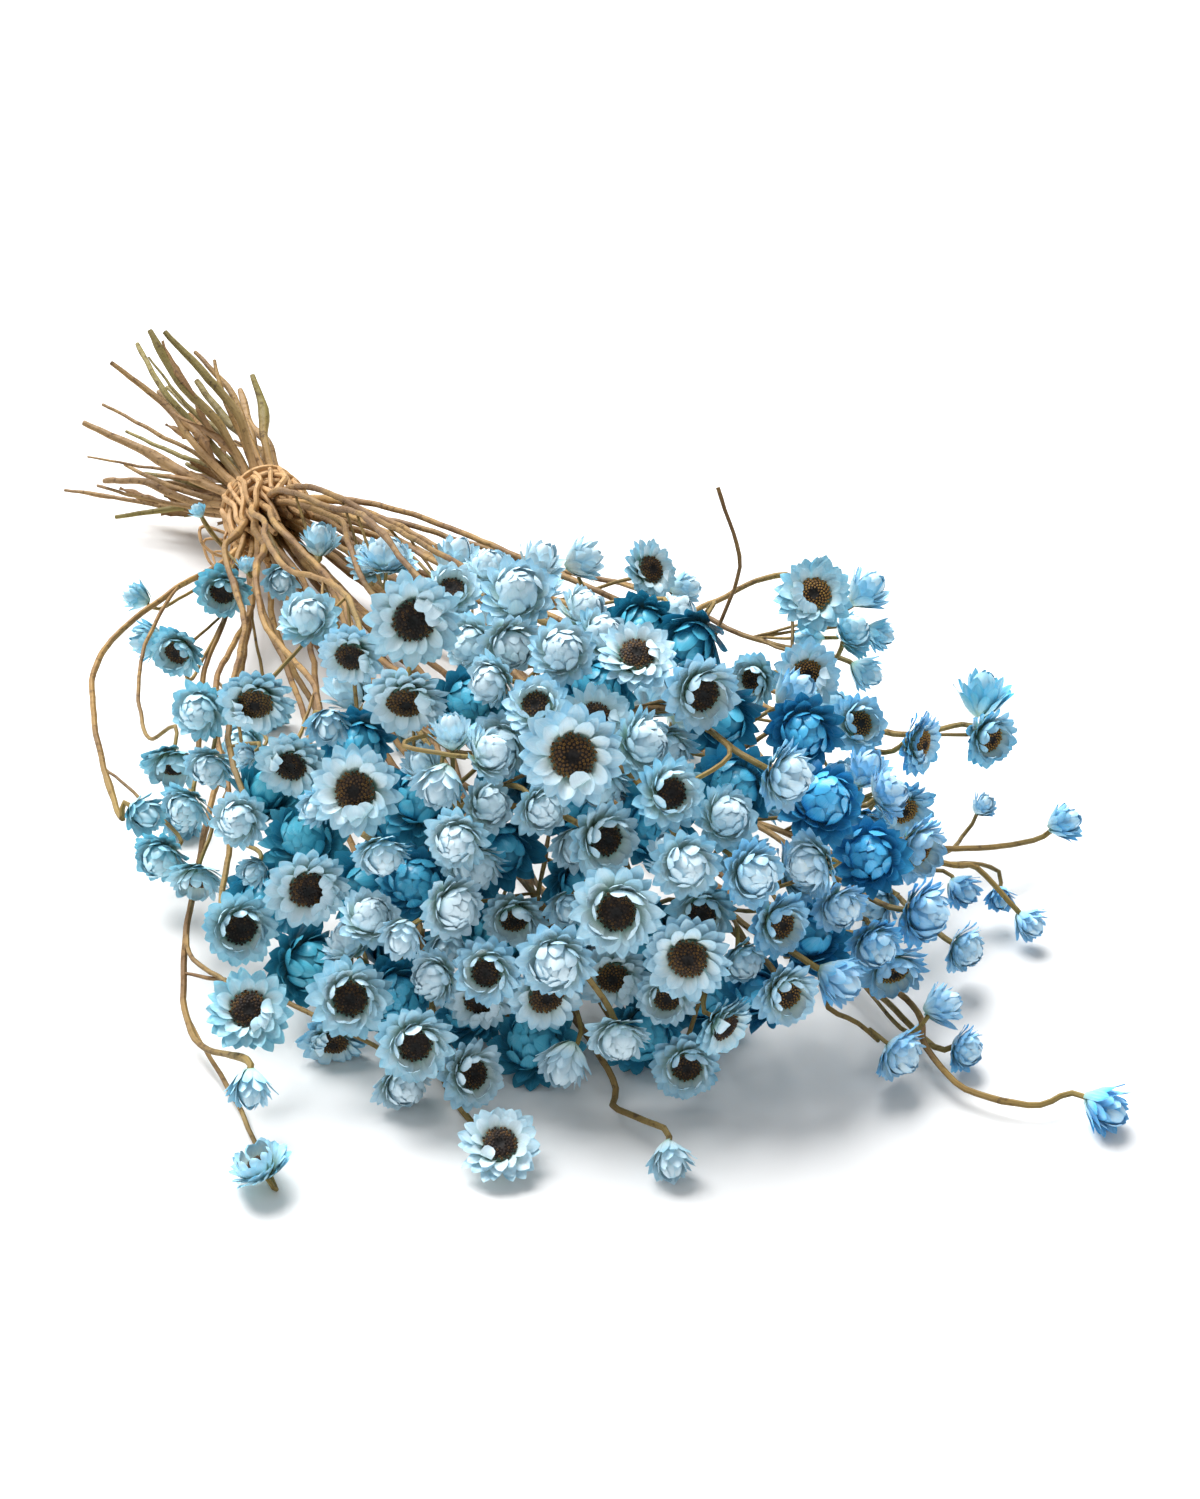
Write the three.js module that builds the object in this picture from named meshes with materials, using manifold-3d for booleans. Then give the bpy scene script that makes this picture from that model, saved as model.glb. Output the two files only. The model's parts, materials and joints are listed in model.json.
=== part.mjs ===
// Preserved winged everlasting: a tied bunch of dyed flower heads lying on a table.
// Millimetres, +Z up, the table at z = 0. The flower heads lie towards -Y, the cut stem ends towards +Y.
import * as THREE from "three";
import * as BufferGeometryUtils from "three/addons/utils/BufferGeometryUtils.js";
import Module from "manifold-3d";

const wasm = await Module();
wasm.setup();

// Driving dimensions of the bunch
const sprayCount = 38; // stems that pass through the tie, each with its own branches and heads
const cutEndRadius = 1.75;
const trunkRadius = 1.5; // in the tie
const trunkTipRadius = 1.0; // under its flower head
const branchRadius = 0.9;
const branchTipRadius = 0.7;
const tieHeight = 25; // middle of the tie above the table
const bundleRadius = 10.6; // circle that holds the stem middles at the tie
const tieHalfLength = 9; // the stems run straight and side by side for this far each way
const tailShortest = 42; // cut ends beyond the tie
const tailLongest = 80;
const wrapCount = 5; // turns of stem round the bundle
const wrapRadius = 1.25;
const clearGap = 0.3; // air kept between pieces that pass each other
const tieGap = 0.12; // air kept between the stems in the tie, and under its turns
const stemCorners = 3;
const stationSpacing = 31; // between the points that a stem is bent at
const lowestShare = 0.72; // of a head's radius: the least height of its middle above the table

// Colours: the dye changes from one side of the bunch to the other
const teal = 0x7fb4c6;
const paleBlue = 0xb7cfdf;
const deepBlue = 0x7ba6dc;
const stemBrown = 0xb18a62;
const tealBefore = -75; // across, from the foot of the eye
const deepBlueFrom = 50;

// The reference picture's view: a level table seen from an eye above it. Pixels of a 1200 by 1499 frame.
const view = { across: 600, down: 749.5, reach: 2082, height: 354, pitch: rad(31) };
const bunchTurn = rad(27.4); // between the bunch's length and the line of sight
const originAcross = -46.1457; // the part's origin on the table, from the foot of the eye
const originAway = 586.3895;
const tieAcross = -127;
const tieAway = 724;

// The mound that the heads make: half width, height and middle in rows ever nearer the eye than the tie.
const moundRows = [
  { near: 0, left: -145, right: -108, high: 42 },
  { near: 60, left: -160, right: -50, high: 50 },
  { near: 110, left: -158, right: 0, high: 62 },
  { near: 150, left: -150, right: 50, high: 80 },
  { near: 200, left: -138, right: 85, high: 98 },
  { near: 250, left: -112, right: 98, high: 104 },
  { near: 285, left: -82, right: 92, high: 88 },
  { near: 305, left: -58, right: 82, high: 56 },
  { near: 320, left: -45, right: 70, high: 14 },
];

function rad(degrees) {
  return (degrees * Math.PI) / 180;
}

// Small vectors as [x, y, z]
const add = (a, b) => [a[0] + b[0], a[1] + b[1], a[2] + b[2]];
const sub = (a, b) => [a[0] - b[0], a[1] - b[1], a[2] - b[2]];
const times = (a, k) => [a[0] * k, a[1] * k, a[2] * k];
const dot = (a, b) => a[0] * b[0] + a[1] * b[1] + a[2] * b[2];
const size = (a) => Math.sqrt(dot(a, a));
const unit = (a) => times(a, 1 / (size(a) || 1));
const cross = (a, b) => [a[1] * b[2] - a[2] * b[1], a[2] * b[0] - a[0] * b[2], a[0] * b[1] - a[1] * b[0]];
const mix = (a, b, t) => add(times(a, 1 - t), times(b, t));

// The same row of numbers between 0 and 1 for each seed
function drawer(seed) {
  let state = seed;
  return () => {
    state = (state * 1664525 + 1013904223) % 4294967296;
    return state / 4294967296;
  };
}

// From the eye's own plan (across, away, up) to the part's frame
function toPart([across, away, up]) {
  const c = Math.cos(bunchTurn);
  const s = Math.sin(bunchTurn);
  return [c * across + s * away, -s * across + c * away, up];
}

const placeInPart = (across, away, up) => toPart([across - originAcross, away - originAway, up]);
const eye = placeInPart(0, 0, view.height);
const viewRight = toPart([1, 0, 0]);
const viewUp = toPart([0, Math.sin(view.pitch), Math.cos(view.pitch)]);
const viewAhead = toPart([0, Math.cos(view.pitch), -Math.sin(view.pitch)]);
const tie = placeInPart(tieAcross, tieAway, tieHeight);

function sightLine(px, py) {
  const sideways = times(viewRight, (px - view.across) / view.reach);
  const upwards = times(viewUp, (view.down - py) / view.reach);
  return unit(add(viewAhead, add(sideways, upwards)));
}

// The place on a sight line at a height above the table
function placeAt(px, py, height) {
  const line = sightLine(px, py);
  return add(eye, times(line, (height - eye[2]) / line[2]));
}

function moundRowAt(near) {
  let row = 0;
  while (row < moundRows.length - 2 && near > moundRows[row + 1].near) {
    row += 1;
  }
  const low = moundRows[row];
  const next = moundRows[row + 1];
  const t = (near - low.near) / (next.near - low.near);
  const between = (key) => low[key] + (next[key] - low[key]) * t;
  return { left: between("left"), right: between("right"), high: between("high") };
}

// How far a place lies from the mound's middle: 1 on its surface
const outside = 9;

function moundDepth(place) {
  const fromEye = sub(place, eye);
  const across = dot(fromEye, viewRight);
  const near = tieAway - dot(fromEye, toPart([0, 1, 0]));
  if (near <= moundRows[0].near || near >= moundRows[moundRows.length - 1].near) {
    return outside;
  }
  const row = moundRowAt(near);
  const side = Math.abs(across - (row.left + row.right) / 2) / ((row.right - row.left) / 2);
  const rise = Math.max(place[2], 0) / row.high;
  const square = 2.2; // a little squarer than an ellipse
  return Math.pow(Math.pow(side, square) + Math.pow(rise, square), 1 / square);
}

// The first place where a sight line meets the mound, or the place nearest to it
function placeOnMound(px, py, sink) {
  const line = sightLine(px, py);
  const firstReach = 380;
  const lastReach = 900;
  let best = outside;
  let bestReach = 0;
  for (let reach = firstReach; reach < lastReach; reach += 1) {
    const depth = moundDepth(add(eye, times(line, reach)));
    if (depth < best) {
      best = depth;
      bestReach = reach;
    }
    if (depth <= 1) {
      break;
    }
  }
  return add(eye, times(line, bestReach + sink));
}

// A flower head: its middle in the picture, its width, how far it tips from the eye and which way it then
// turns in the picture (0 right, 90 up), and either its height above the table or how deep it sits.
function head(form, px, py, width, tip, turn, where = {}) {
  const at = where.height === undefined
    ? placeOnMound(px, py, where.sink ?? 0)
    : placeAt(px, py, where.height);
  const toEye = unit(sub(eye, at));
  const right = unit(cross(viewUp, toEye));
  const up = cross(toEye, right);
  const aside = add(times(right, Math.cos(rad(turn))), times(up, Math.sin(rad(turn))));
  const facing = add(times(toEye, Math.cos(rad(tip))), times(aside, Math.sin(rad(tip))));
  return { form, at, facing, radius: width / 2, ...where };
}

const open = (...values) => head("open", ...values);
const cup = (...values) => head("cup", ...values);
const ball = (...values) => head("ball", ...values);
const bud = (...values) => head("bud", ...values);
const sunk = (sink) => ({ sink });
const high = (height) => ({ height });

// Heads that the picture shows, from the tie round to the front
const shownHeads = [
  // left and back, teal and pale
  bud(137, 597, 12, 80, 160, high(30)),
  bud(148, 640, 15, 75, 185, high(28)),
  cup(223, 592, 20, 35, 250, high(32)),
  bud(246, 565, 7.5, 60, 90, high(44)),
  bud(281, 580, 14, 30, 270, high(46)),
  bud(198, 511, 7, 70, 120, high(46)),
  cup(177, 652, 18.5, 40, 230, high(34)),
  bud(320, 540, 15, 60, 90, high(52)),
  ball(372, 560, 17, 45, 90, high(56)),
  ball(308, 617, 17.5, 30, 120),
  open(352, 655, 18, 35, 250),
  open(258, 708, 21.5, 40, 260),
  ball(200, 720, 17, 30, 200),
  bud(328, 725, 13, 40, 270, sunk(12)),
  cup(172, 767, 19, 60, 265, { height: 34, group: "left loop", via: "inner loop" }),
  bud(246, 755, 8, 40, 180, sunk(10)),
  ball(212, 765, 15, 50, 250, sunk(14)),
  bud(148, 815, 14, 40, 330, { height: 26, group: "left loop", lead: true, via: "left loop" }),
  ball(178, 818, 16, 60, 230, sunk(6)),
  ball(165, 845, 17, 50, 230, { height: 22, group: "left loop" }),
  cup(197, 880, 17, 65, 260),
  ball(245, 822, 16, 25, 200),
  open(300, 780, 19, 30, 250, sunk(20)),
  bud(316, 808, 11, 40, 200, sunk(6)),
  bud(260, 870, 10, 45, 220, sunk(8)),
  // top and middle, pale
  open(425, 640, 24.5, 15, 270),
  open(421, 690, 22, 45, 268, sunk(6)),
  cup(452, 590, 17, 35, 90),
  ball(512, 600, 21, 25, 90),
  ball(490, 568, 16, 60, 90),
  bud(540, 562, 15, 70, 60),
  ball(565, 655, 17.5, 15, 90),
  ball(470, 640, 17, 40, 200, sunk(14)),
  ball(500, 650, 17, 40, 300, sunk(14)),
  bud(450, 735, 12.5, 60, 95),
  ball(495, 690, 15, 55, 200, sunk(6)),
  cup(540, 705, 17, 25, 120),
  open(580, 750, 25, 8, 270),
  open(614, 722, 20, 30, 60, sunk(12)),
  ball(640, 750, 18, 50, 0, sunk(8)),
  ball(675, 740, 18, 50, 270, sunk(14)),
  open(635, 665, 20, 35, 80),
  cup(693, 697, 20, 30, 320),
  ball(500, 740, 18, 30, 200, sunk(16)),
  open(370, 803, 23, 15, 200),
  ball(378, 840, 15, 65, 275),
  ball(475, 765, 15, 60, 20),
  bud(412, 770, 12, 40, 120, sunk(8)),
  bud(460, 790, 15, 60, 250),
  ball(455, 825, 16, 30, 240),
  ball(495, 815, 15, 40, 0, sunk(8)),
  ball(535, 812, 15, 40, 320, sunk(8)),
  ball(480, 858, 17, 60, 270, sunk(14)),
  cup(673, 790, 18.5, 25, 10),
  ball(780, 780, 18, 60, 340),
  bud(580, 838, 14, 40, 270, sunk(16)),
  ball(602, 795, 16, 60, 270, sunk(14)),
  // back right
  bud(583, 560, 16, 70, 20, high(72)),
  open(650, 570, 19, 40, 20, high(72)),
  bud(684, 588, 13, 80, 0, high(62)),
  ball(590, 612, 16, 50, 40, sunk(10)),
  ball(602, 640, 16, 40, 40, sunk(10)),
  cup(755, 680, 17, 35, 200, high(52)),
  open(805, 675, 20, 10, 0, { height: 58, group: "back fork" }),
  open(818, 600, 23, 15, 90, { height: 68, group: "back fork", lead: true, via: "back fork" }),
  bud(868, 595, 16, 75, 40, high(60)),
  ball(845, 635, 16, 70, 30, high(55)),
  bud(815, 638, 12, 70, 180, high(52)),
  bud(878, 630, 12, 80, 340, high(50)),
  bud(863, 665, 13, 80, 330, high(45)),
  cup(862, 725, 18, 30, 10, high(48)),
  ball(830, 705, 14, 60, 100, high(44)),
  open(915, 748, 19, 62, 345, high(45)),
  bud(983, 695, 18, 75, 80, { height: 45, group: "right pair" }),
  cup(990, 738, 18, 45, 330, { height: 40, group: "right pair", lead: true, via: "right pair" }),
  // right, deeper blue
  bud(868, 782, 15, 60, 60, high(40)),
  ball(863, 818, 17, 60, 250, high(32)),
  open(900, 802, 19, 40, 300, high(32)),
  ball(843, 778, 15, 50, 110, high(30)),
  bud(983, 806, 9, 60, 45, { height: 22, group: "far right", via: "far right bud" }),
  bud(1064, 823, 12.5, 70, 20, { height: 20, group: "far right", lead: true, via: "far right" }),
  ball(815, 875, 17, 60, 20, high(50)),
  ball(792, 862, 17, 60, 200, sunk(8)),
  cup(910, 860, 20, 60, 330, high(30)),
  ball(880, 892, 18, 50, 200, high(22)),
  ball(925, 915, 19, 60, 340, high(28)),
  bud(962, 890, 12, 60, 320, high(14)),
  ball(965, 950, 14.5, 70, 330, high(14)),
  cup(893, 970, 19, 55, 290, high(20)),
  bud(1000, 898, 9.5, 50, 280, { height: 10, group: "right twig" }),
  bud(1029, 923, 11.5, 65, 320, { height: 8, group: "right twig", lead: true, via: "right twig" }),
  ball(900, 1055, 16, 75, 320, { height: 12, via: "right front" }),
  bud(945, 1010, 13, 70, 20, high(17)),
  ball(963, 1045, 13, 70, 340, high(9)),
  bud(1105, 1108, 14.5, 70, 330, { height: 6.5, group: "right arm", lead: true, via: "right arm" }),
  ball(840, 908, 15, 50, 300, sunk(14)),
  ball(862, 938, 16, 50, 300, sunk(14)),
  ball(757, 852, 15, 50, 300, sunk(10)),
  // front
  cup(240, 928, 20, 20, 300, high(32)),
  open(318, 900, 22, 30, 290, sunk(4)),
  ball(385, 915, 16, 30, 60, sunk(4)),
  ball(452, 915, 17, 40, 320),
  bud(415, 940, 13, 50, 250),
  ball(348, 945, 15, 60, 120, sunk(8)),
  cup(520, 910, 17, 40, 270, sunk(24)),
  cup(490, 965, 17.5, 20, 240),
  open(490, 1000, 18, 40, 270, sunk(14)),
  ball(555, 965, 19, 30, 250),
  open(573, 1003, 20, 35, 300, sunk(8)),
  open(618, 985, 19, 30, 270, sunk(18)),
  cup(655, 995, 16, 30, 270, sunk(10)),
  ball(610, 1032, 16, 60, 270, sunk(4)),
  bud(560, 1042, 15, 70, 250, sunk(8)),
  cup(630, 900, 22.5, 15, 260),
  ball(697, 868, 17, 20, 300),
  bud(660, 858, 15, 60, 120, sunk(6)),
  cup(714, 920, 18, 30, 270, sunk(6)),
  ball(740, 890, 17, 40, 330),
  ball(727, 832, 17, 30, 20, sunk(2)),
  open(677, 945, 21.5, 20, 270),
  cup(770, 910, 17, 40, 330),
  cup(783, 965, 17, 40, 320),
  bud(830, 980, 15, 70, 330),
  cup(608, 855, 19.5, 35, 330, sunk(4)),
  open(718, 1020, 17.5, 60, 320),
  cup(687, 1065, 18, 30, 280, high(14)),
  bud(670, 1160, 13, 60, 280, { height: 6, group: "front stem", lead: true, via: "front stem" }),
  cup(357, 990, 21, 12, 280),
  open(350, 1045, 18, 50, 270, sunk(6)),
  cup(425, 1030, 19.5, 25, 290),
  ball(408, 1074, 16, 60, 300, { height: 12, group: "front left", via: "front cross" }),
  cup(467, 1068, 18, 30, 340, high(14)),
  open(249, 1010, 21.5, 12, 90, { height: 25, group: "front left", via: "front open" }),
  bud(250, 1088, 13, 65, 272, { height: 16, group: "front left", lead: true, via: "front left" }),
  cup(258, 1165, 16, 65, 120, { height: 7.5, group: "front left", via: "front last" }),
  open(500, 1145, 19.5, 25, 90, high(7.5)),
  bud(560, 907, 12, 40, 270, sunk(20)),
  ball(430, 985, 15, 50, 200, sunk(2)),
  bud(440, 960, 13, 50, 250, sunk(8)),
  ball(742, 955, 14, 60, 300, sunk(10)),
];

// Stems that the picture shows whole, as places on sight lines: across, down, height above the table
const shownRoutes = {
  "left loop": [[190, 590, 32], [120, 650, 28], [103, 700, 26], [112, 770, 22], [127, 822, 20]],
  "inner loop": [[172, 612, 34], [150, 655, 33], [143, 705, 31], [152, 742, 31]],
  "back fork": [[650, 625, 64], [700, 607, 66], [745, 585, 68], [786, 579, 68]],
  "right pair": [[885, 730, 40], [930, 730, 39]],
  "far right": [[915, 823, 26], [980, 837, 21]],
  "far right bud": [[935, 832, 23]],
  "right twig": [[945, 850, 24], [975, 870, 16]],
  "right arm": [[920, 990, 15], [935, 1030, 12], [975, 1075, 8], [1040, 1097, 7]],
  "right front": [[830, 998, 20], [860, 1020, 15], [882, 1040, 12]],
  "front stem": [[600, 1055, 7], [616, 1090, 5], [613, 1107, 5]],
  "front left": [[192, 905, 20], [188, 960, 14], [189, 1005, 10], [207, 1040, 10]],
  "front open": [[196, 945, 17], [232, 975, 18]],
  "front cross": [[238, 978, 16], [290, 1005, 13], [345, 1035, 12]],
  "front last": [[225, 1070, 5], [248, 1118, 4]],
};
const bareTwigRoute = [[685, 665, 72], [702, 645, 80], [731, 580, 98], [735, 550, 106], [718, 487, 122]];

// Heads that the picture hides: on the far flank, under the mound and inside it
const hiddenKinds = {
  far: { count: 10, nearest: 70, apart: 20 },
  under: { count: 6, nearest: 120, apart: 20 },
  inner: { count: 8, nearest: 130, apart: 17 },
};

function moundNormal(place) {
  const step = 0.5;
  const slope = [0, 1, 2].map((axis) => {
    const shift = [0, 0, 0];
    shift[axis] = step;
    return moundDepth(add(place, shift)) - moundDepth(sub(place, shift));
  });
  return unit(slope);
}

function hiddenHeads(taken) {
  const draw = drawer(4107);
  const found = [];
  const tries = 3000;
  const lastNear = 296;
  const smallest = 7.5;
  const sizeRange = 2.5;
  const budShare = 0.4;
  const onSkin = 0.97; // shares of the mound's width and height
  const inside = 0.72;
  for (const [kind, { count, nearest: firstNear, apart }] of Object.entries(hiddenKinds)) {
    let left = count;
    for (let turn = 0; turn < tries && left > 0; turn += 1) {
      const near = firstNear + (lastNear - firstNear) * draw();
      const side = draw() * 2 - 1;
      const radius = smallest + draw() * sizeRange;
      const form = draw() < budShare ? "bud" : "ball";
      const row = moundRowAt(near);
      const arch = Math.sqrt(1 - side * side);
      const depth = kind === "inner" ? inside : onSkin;
      const height = kind === "under" ? 0 : row.high * arch * depth;
      const across = (row.left + row.right) / 2 + ((row.right - row.left) / 2) * side * depth;
      const at = placeInPart(across, tieAway - near, Math.max(height, radius * lowestShare));
      const outward = moundNormal(at);
      const towardsFlowers = kind === "under" ? -2 : -0.4;
      const facing = unit(add(outward, [0, towardsFlowers, 0]));
      const hidden = kind !== "far" || dot(outward, unit(sub(eye, at))) < 0.1;
      const free = [...taken, ...found].every((other) => size(sub(other.at, at)) > apart);
      if (hidden && free) {
        found.push({ form, at, facing, radius });
        left -= 1;
      }
    }
  }
  return found;
}

// Heads deeper in the mound, each on the sight line that would pass furthest outside all the others
function gapHeads(taken) {
  const draw = drawer(6151);
  const found = [];
  const count = 36;
  const looks = 60;
  const middle = { across: 560, down: 835 };
  const spread = { across: 312, down: 215 };
  const sunkRange = [8, 20];
  const sunkMost = 70;
  const sunkStep = 6;
  const smallest = 10;
  const budShare = 0.35;
  const apart = 14;
  for (let number = 0; number < count; number += 1) {
    const all = [...taken, ...found];
    let best = { open: 0 };
    for (let look = 0; look < looks; look += 1) {
      const turned = 2 * Math.PI * draw();
      const reach = Math.sqrt(draw());
      const px = middle.across + spread.across * reach * Math.cos(turned);
      const py = middle.down + spread.down * reach * Math.sin(turned);
      const line = sightLine(px, py);
      const open = all.reduce((least, other) => {
        const toOther = sub(other.at, eye);
        const aside = size(sub(toOther, times(line, dot(toOther, line))));
        return Math.min(least, aside / other.radius);
      }, Infinity);
      if (open > best.open) {
        best = { open, px, py, line };
      }
    }
    const radius = smallest + 2 * draw();
    const form = draw() < budShare ? "bud" : "ball";
    const lean = [draw() - 0.5, draw() - 0.5, draw() - 0.5];
    const facing = unit(add(lean, times(best.line, -1)));
    let sunk = sunkRange[0] + (sunkRange[1] - sunkRange[0]) * draw();
    while (sunk < sunkMost) {
      const at = placeOnMound(best.px, best.py, sunk);
      const inMound = at[2] > radius * lowestShare && moundDepth(at) < 0.97;
      if (inMound && all.every((other) => size(sub(other.at, at)) > apart)) {
        found.push({ form, at, facing, radius });
        break;
      }
      sunk += sunkStep;
    }
  }
  return found;
}

// Heads that share a stem: the heads are halved again and again, across the widest of their directions
// from the tie, until each share is one spray's
function shareOut(heads) {
  const fanReach = 230; // directions are told apart at this distance from the tie
  const nearestFan = 70;
  const lengthShare = 0.3; // and distances along the bunch count this much beside them
  const traits = heads.map(({ at }) => {
    const [across, length, rise] = sub(at, tie);
    const fan = fanReach / Math.max(-length, nearestFan);
    return [across * fan, rise * fan, -length * lengthShare];
  });
  const named = [...new Set(heads.filter((each) => each.group).map((each) => each.group))];
  let spray = named.length;
  const halve = (members, shares) => {
    if (shares === 1) {
      members.forEach((index) => {
        heads[index].spray = spray;
      });
      spray += 1;
      return;
    }
    const spread = [0, 1, 2].map((axis) => {
      const values = members.map((index) => traits[index][axis]);
      return Math.max(...values) - Math.min(...values);
    });
    const axis = spread.indexOf(Math.max(...spread));
    const sorted = [...members].sort((one, other) => traits[one][axis] - traits[other][axis]);
    const lower = Math.floor(shares / 2);
    const cut = Math.round((sorted.length * lower) / shares);
    halve(sorted.slice(0, cut), lower);
    halve(sorted.slice(cut), shares - lower);
  };
  heads.forEach((each) => {
    each.spray = named.indexOf(each.group);
  });
  const loose = heads.map((each, index) => index).filter((index) => !heads[index].group);
  halve(loose, sprayCount - named.length);
}

// Heads are moved until they are clear of each other, mostly along the line of sight
function spaceOut(heads) {
  const rounds = 120;
  const sightPull = 1.2;
  for (let round = 0; round < rounds; round += 1) {
    for (let i = 0; i < heads.length; i += 1) {
      for (let j = i + 1; j < heads.length; j += 1) {
        const a = heads[i];
        const b = heads[j];
        const reach = a.radius + b.radius + clearGap;
        const apart = sub(b.at, a.at);
        const distance = size(apart);
        if (distance < reach && distance > 0) {
          const sight = unit(sub(a.at, eye));
          const push = unit(add(apart, times(sight, sightPull * dot(apart, sight))));
          const along = dot(push, apart) / distance;
          const move = times(push, (0.5 * (reach - distance)) / along);
          a.at = sub(a.at, move);
          b.at = add(b.at, move);
        }
      }
      heads[i].at[2] = Math.max(heads[i].at[2], heads[i].radius * lowestShare);
    }
  }
}

// Places of the stems side by side in the tie, each on the side where its heads lie
function laneMiddles(heads, count) {
  const rounds = 400;
  const fanWidth = 20; // width in the tie for a direction one to one aside
  const nearestFan = 80;
  const levelRise = 8; // of heads whose stem keeps to the middle of the tie
  const riseShare = 1.6;
  const lanes = [];
  for (let spray = 0; spray < count; spray += 1) {
    const own = heads.filter((each) => each.spray === spray);
    const middle = times(own.map((each) => each.at).reduce(add), 1 / own.length);
    const [across, length, rise] = sub(middle, tie);
    const fan = fanWidth / Math.max(-length, nearestFan);
    const nudge = 0.01 * spray; // no two lanes start at one place
    lanes.push([across * fan + nudge, (rise - levelRise) * riseShare * fan]);
  }
  const apart = 2 * trunkRadius + tieGap;
  for (let round = 0; round < rounds; round += 1) {
    for (let i = 0; i < count; i += 1) {
      for (let j = i + 1; j < count; j += 1) {
        const dx = lanes[j][0] - lanes[i][0];
        const dz = lanes[j][1] - lanes[i][1];
        const distance = Math.sqrt(dx * dx + dz * dz);
        if (distance < apart) {
          const push = (0.5 * (apart - distance)) / distance;
          lanes[i] = [lanes[i][0] - dx * push, lanes[i][1] - dz * push];
          lanes[j] = [lanes[j][0] + dx * push, lanes[j][1] + dz * push];
        }
      }
      const out = Math.sqrt(lanes[i][0] ** 2 + lanes[i][1] ** 2);
      if (out > bundleRadius) {
        lanes[i] = [(lanes[i][0] * bundleRadius) / out, (lanes[i][1] * bundleRadius) / out];
      }
    }
  }
  return lanes;
}

// Points of a smooth run between two ends with given directions
function bend(from, fromWay, to, toWay, steps) {
  const points = [];
  for (let step = 0; step <= steps; step += 1) {
    const t = step / steps;
    const a = 2 * t ** 3 - 3 * t ** 2 + 1;
    const b = t ** 3 - 2 * t ** 2 + t;
    const c = t ** 2 * (3 - 2 * t);
    const d = t ** 3 - t ** 2;
    points.push(add(add(times(from, a), times(fromWay, b)), add(times(to, c), times(toWay, d))));
  }
  return points;
}

// A run through several places, with steps of about the station spacing
function runThrough(places, firstWay, lastWay) {
  const points = [places[0]];
  for (let leg = 1; leg < places.length; leg += 1) {
    const from = places[leg - 1];
    const to = places[leg];
    const reach = size(sub(to, from));
    const wayIn = leg === 1 ? firstWay : unit(sub(to, places[leg - 2]));
    const wayOut = leg === places.length - 1 ? lastWay : unit(sub(places[leg + 1], from));
    const steps = Math.max(1, Math.round(reach / stationSpacing));
    points.push(...bend(from, times(wayIn, reach), to, times(wayOut, reach), steps).slice(1));
  }
  return points;
}

// Where a head's stem ends inside it, and where the stem comes to on the way there
const seatOf = (each) => sub(each.at, times(each.facing, each.radius * 0.45));
const approachOf = (each) => {
  const behind = Math.max(each.radius * 1.35, 9);
  const place = sub(each.at, times(each.facing, behind));
  return [place[0], place[1], Math.max(place[2], 2)];
};

// A stem's cut end spreads from its place in the tie, upwards and towards -X most. Spreads are shares of
// the stem's own place in the tie; lean, drop and unevenness are millimetres at the cut end.
function cutEnd(lane, draw) {
  const length = tailShortest + (tailLongest - tailShortest) * draw();
  const spreadAcross = lane[0] < 0 ? 2.8 : 1.3;
  const spreadUp = lane[1] > 0 ? 4.8 : 0.9;
  const lean = (draw() - 0.5) * 14 - 7 + 2 * Math.min(lane[1], 0);
  const drop = 5;
  const unevenness = 5;
  const steps = 3;
  const points = [];
  for (let step = steps; step >= 1; step -= 1) {
    const t = step / steps;
    const rise = lane[1] * (1 + spreadUp * t) - drop * t + (draw() - 0.5) * unevenness;
    const across = lane[0] * (1 + spreadAcross * t) + lean * t * t + (draw() - 0.5) * unevenness;
    points.push([
      tie[0] + across,
      tie[1] + tieHalfLength + length * t,
      Math.max(tie[2] + rise, cutEndRadius + 0.1),
    ]);
  }
  return points;
}

// A chain is a stem's middle line: its points, which of them are held, its spray and its radii.
// A trunk's first points are its cut end, then come the two that lie in the tie.
const tieEntry = 3;

function trunkChain(leader, lane, draw) {
  const tail = cutEnd(lane, draw);
  const start = [tie[0] + lane[0], tie[1], tie[2] + lane[1]];
  const entry = add(start, [0, tieHalfLength, 0]);
  const exit = add(start, [0, -tieHalfLength, 0]);
  const via = (shownRoutes[leader.via] ?? []).map((spot) => placeAt(...spot));
  const places = [exit, ...via, approachOf(leader), seatOf(leader)];
  const outWay = unit([lane[0] * 0.05, -1, lane[1] * 0.05]);
  const run = runThrough(places, outWay, leader.facing);
  const waveStep = 1.1 + 0.5 * draw(); // stems wind a little, in radians for each of their points
  const waveStart = draw() * 6;
  const wave = via.length ? 0 : 3.5;
  for (let index = 2; index < run.length - 2; index += 1) {
    const turn = waveStart + waveStep * index;
    run[index] = add(run[index], [wave * Math.sin(turn), 0, wave * 0.7 * Math.cos(1.3 * turn)]);
  }
  const points = [...tail, entry, ...run];
  const held = points.map((point, index) => {
    return index === tieEntry || index === tieEntry + 1 || index >= points.length - 1;
  });
  const radii = points.map((point, index) => {
    if (index < tieEntry) {
      return cutEndRadius + ((trunkRadius - cutEndRadius) * index) / tieEntry;
    }
    const share = (index - tieEntry) / (points.length - 1 - tieEntry);
    return trunkRadius + (trunkTipRadius - trunkRadius) * share;
  });
  return { points, held, spray: leader.spray, head: leader, radii, forks: [] };
}

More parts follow.
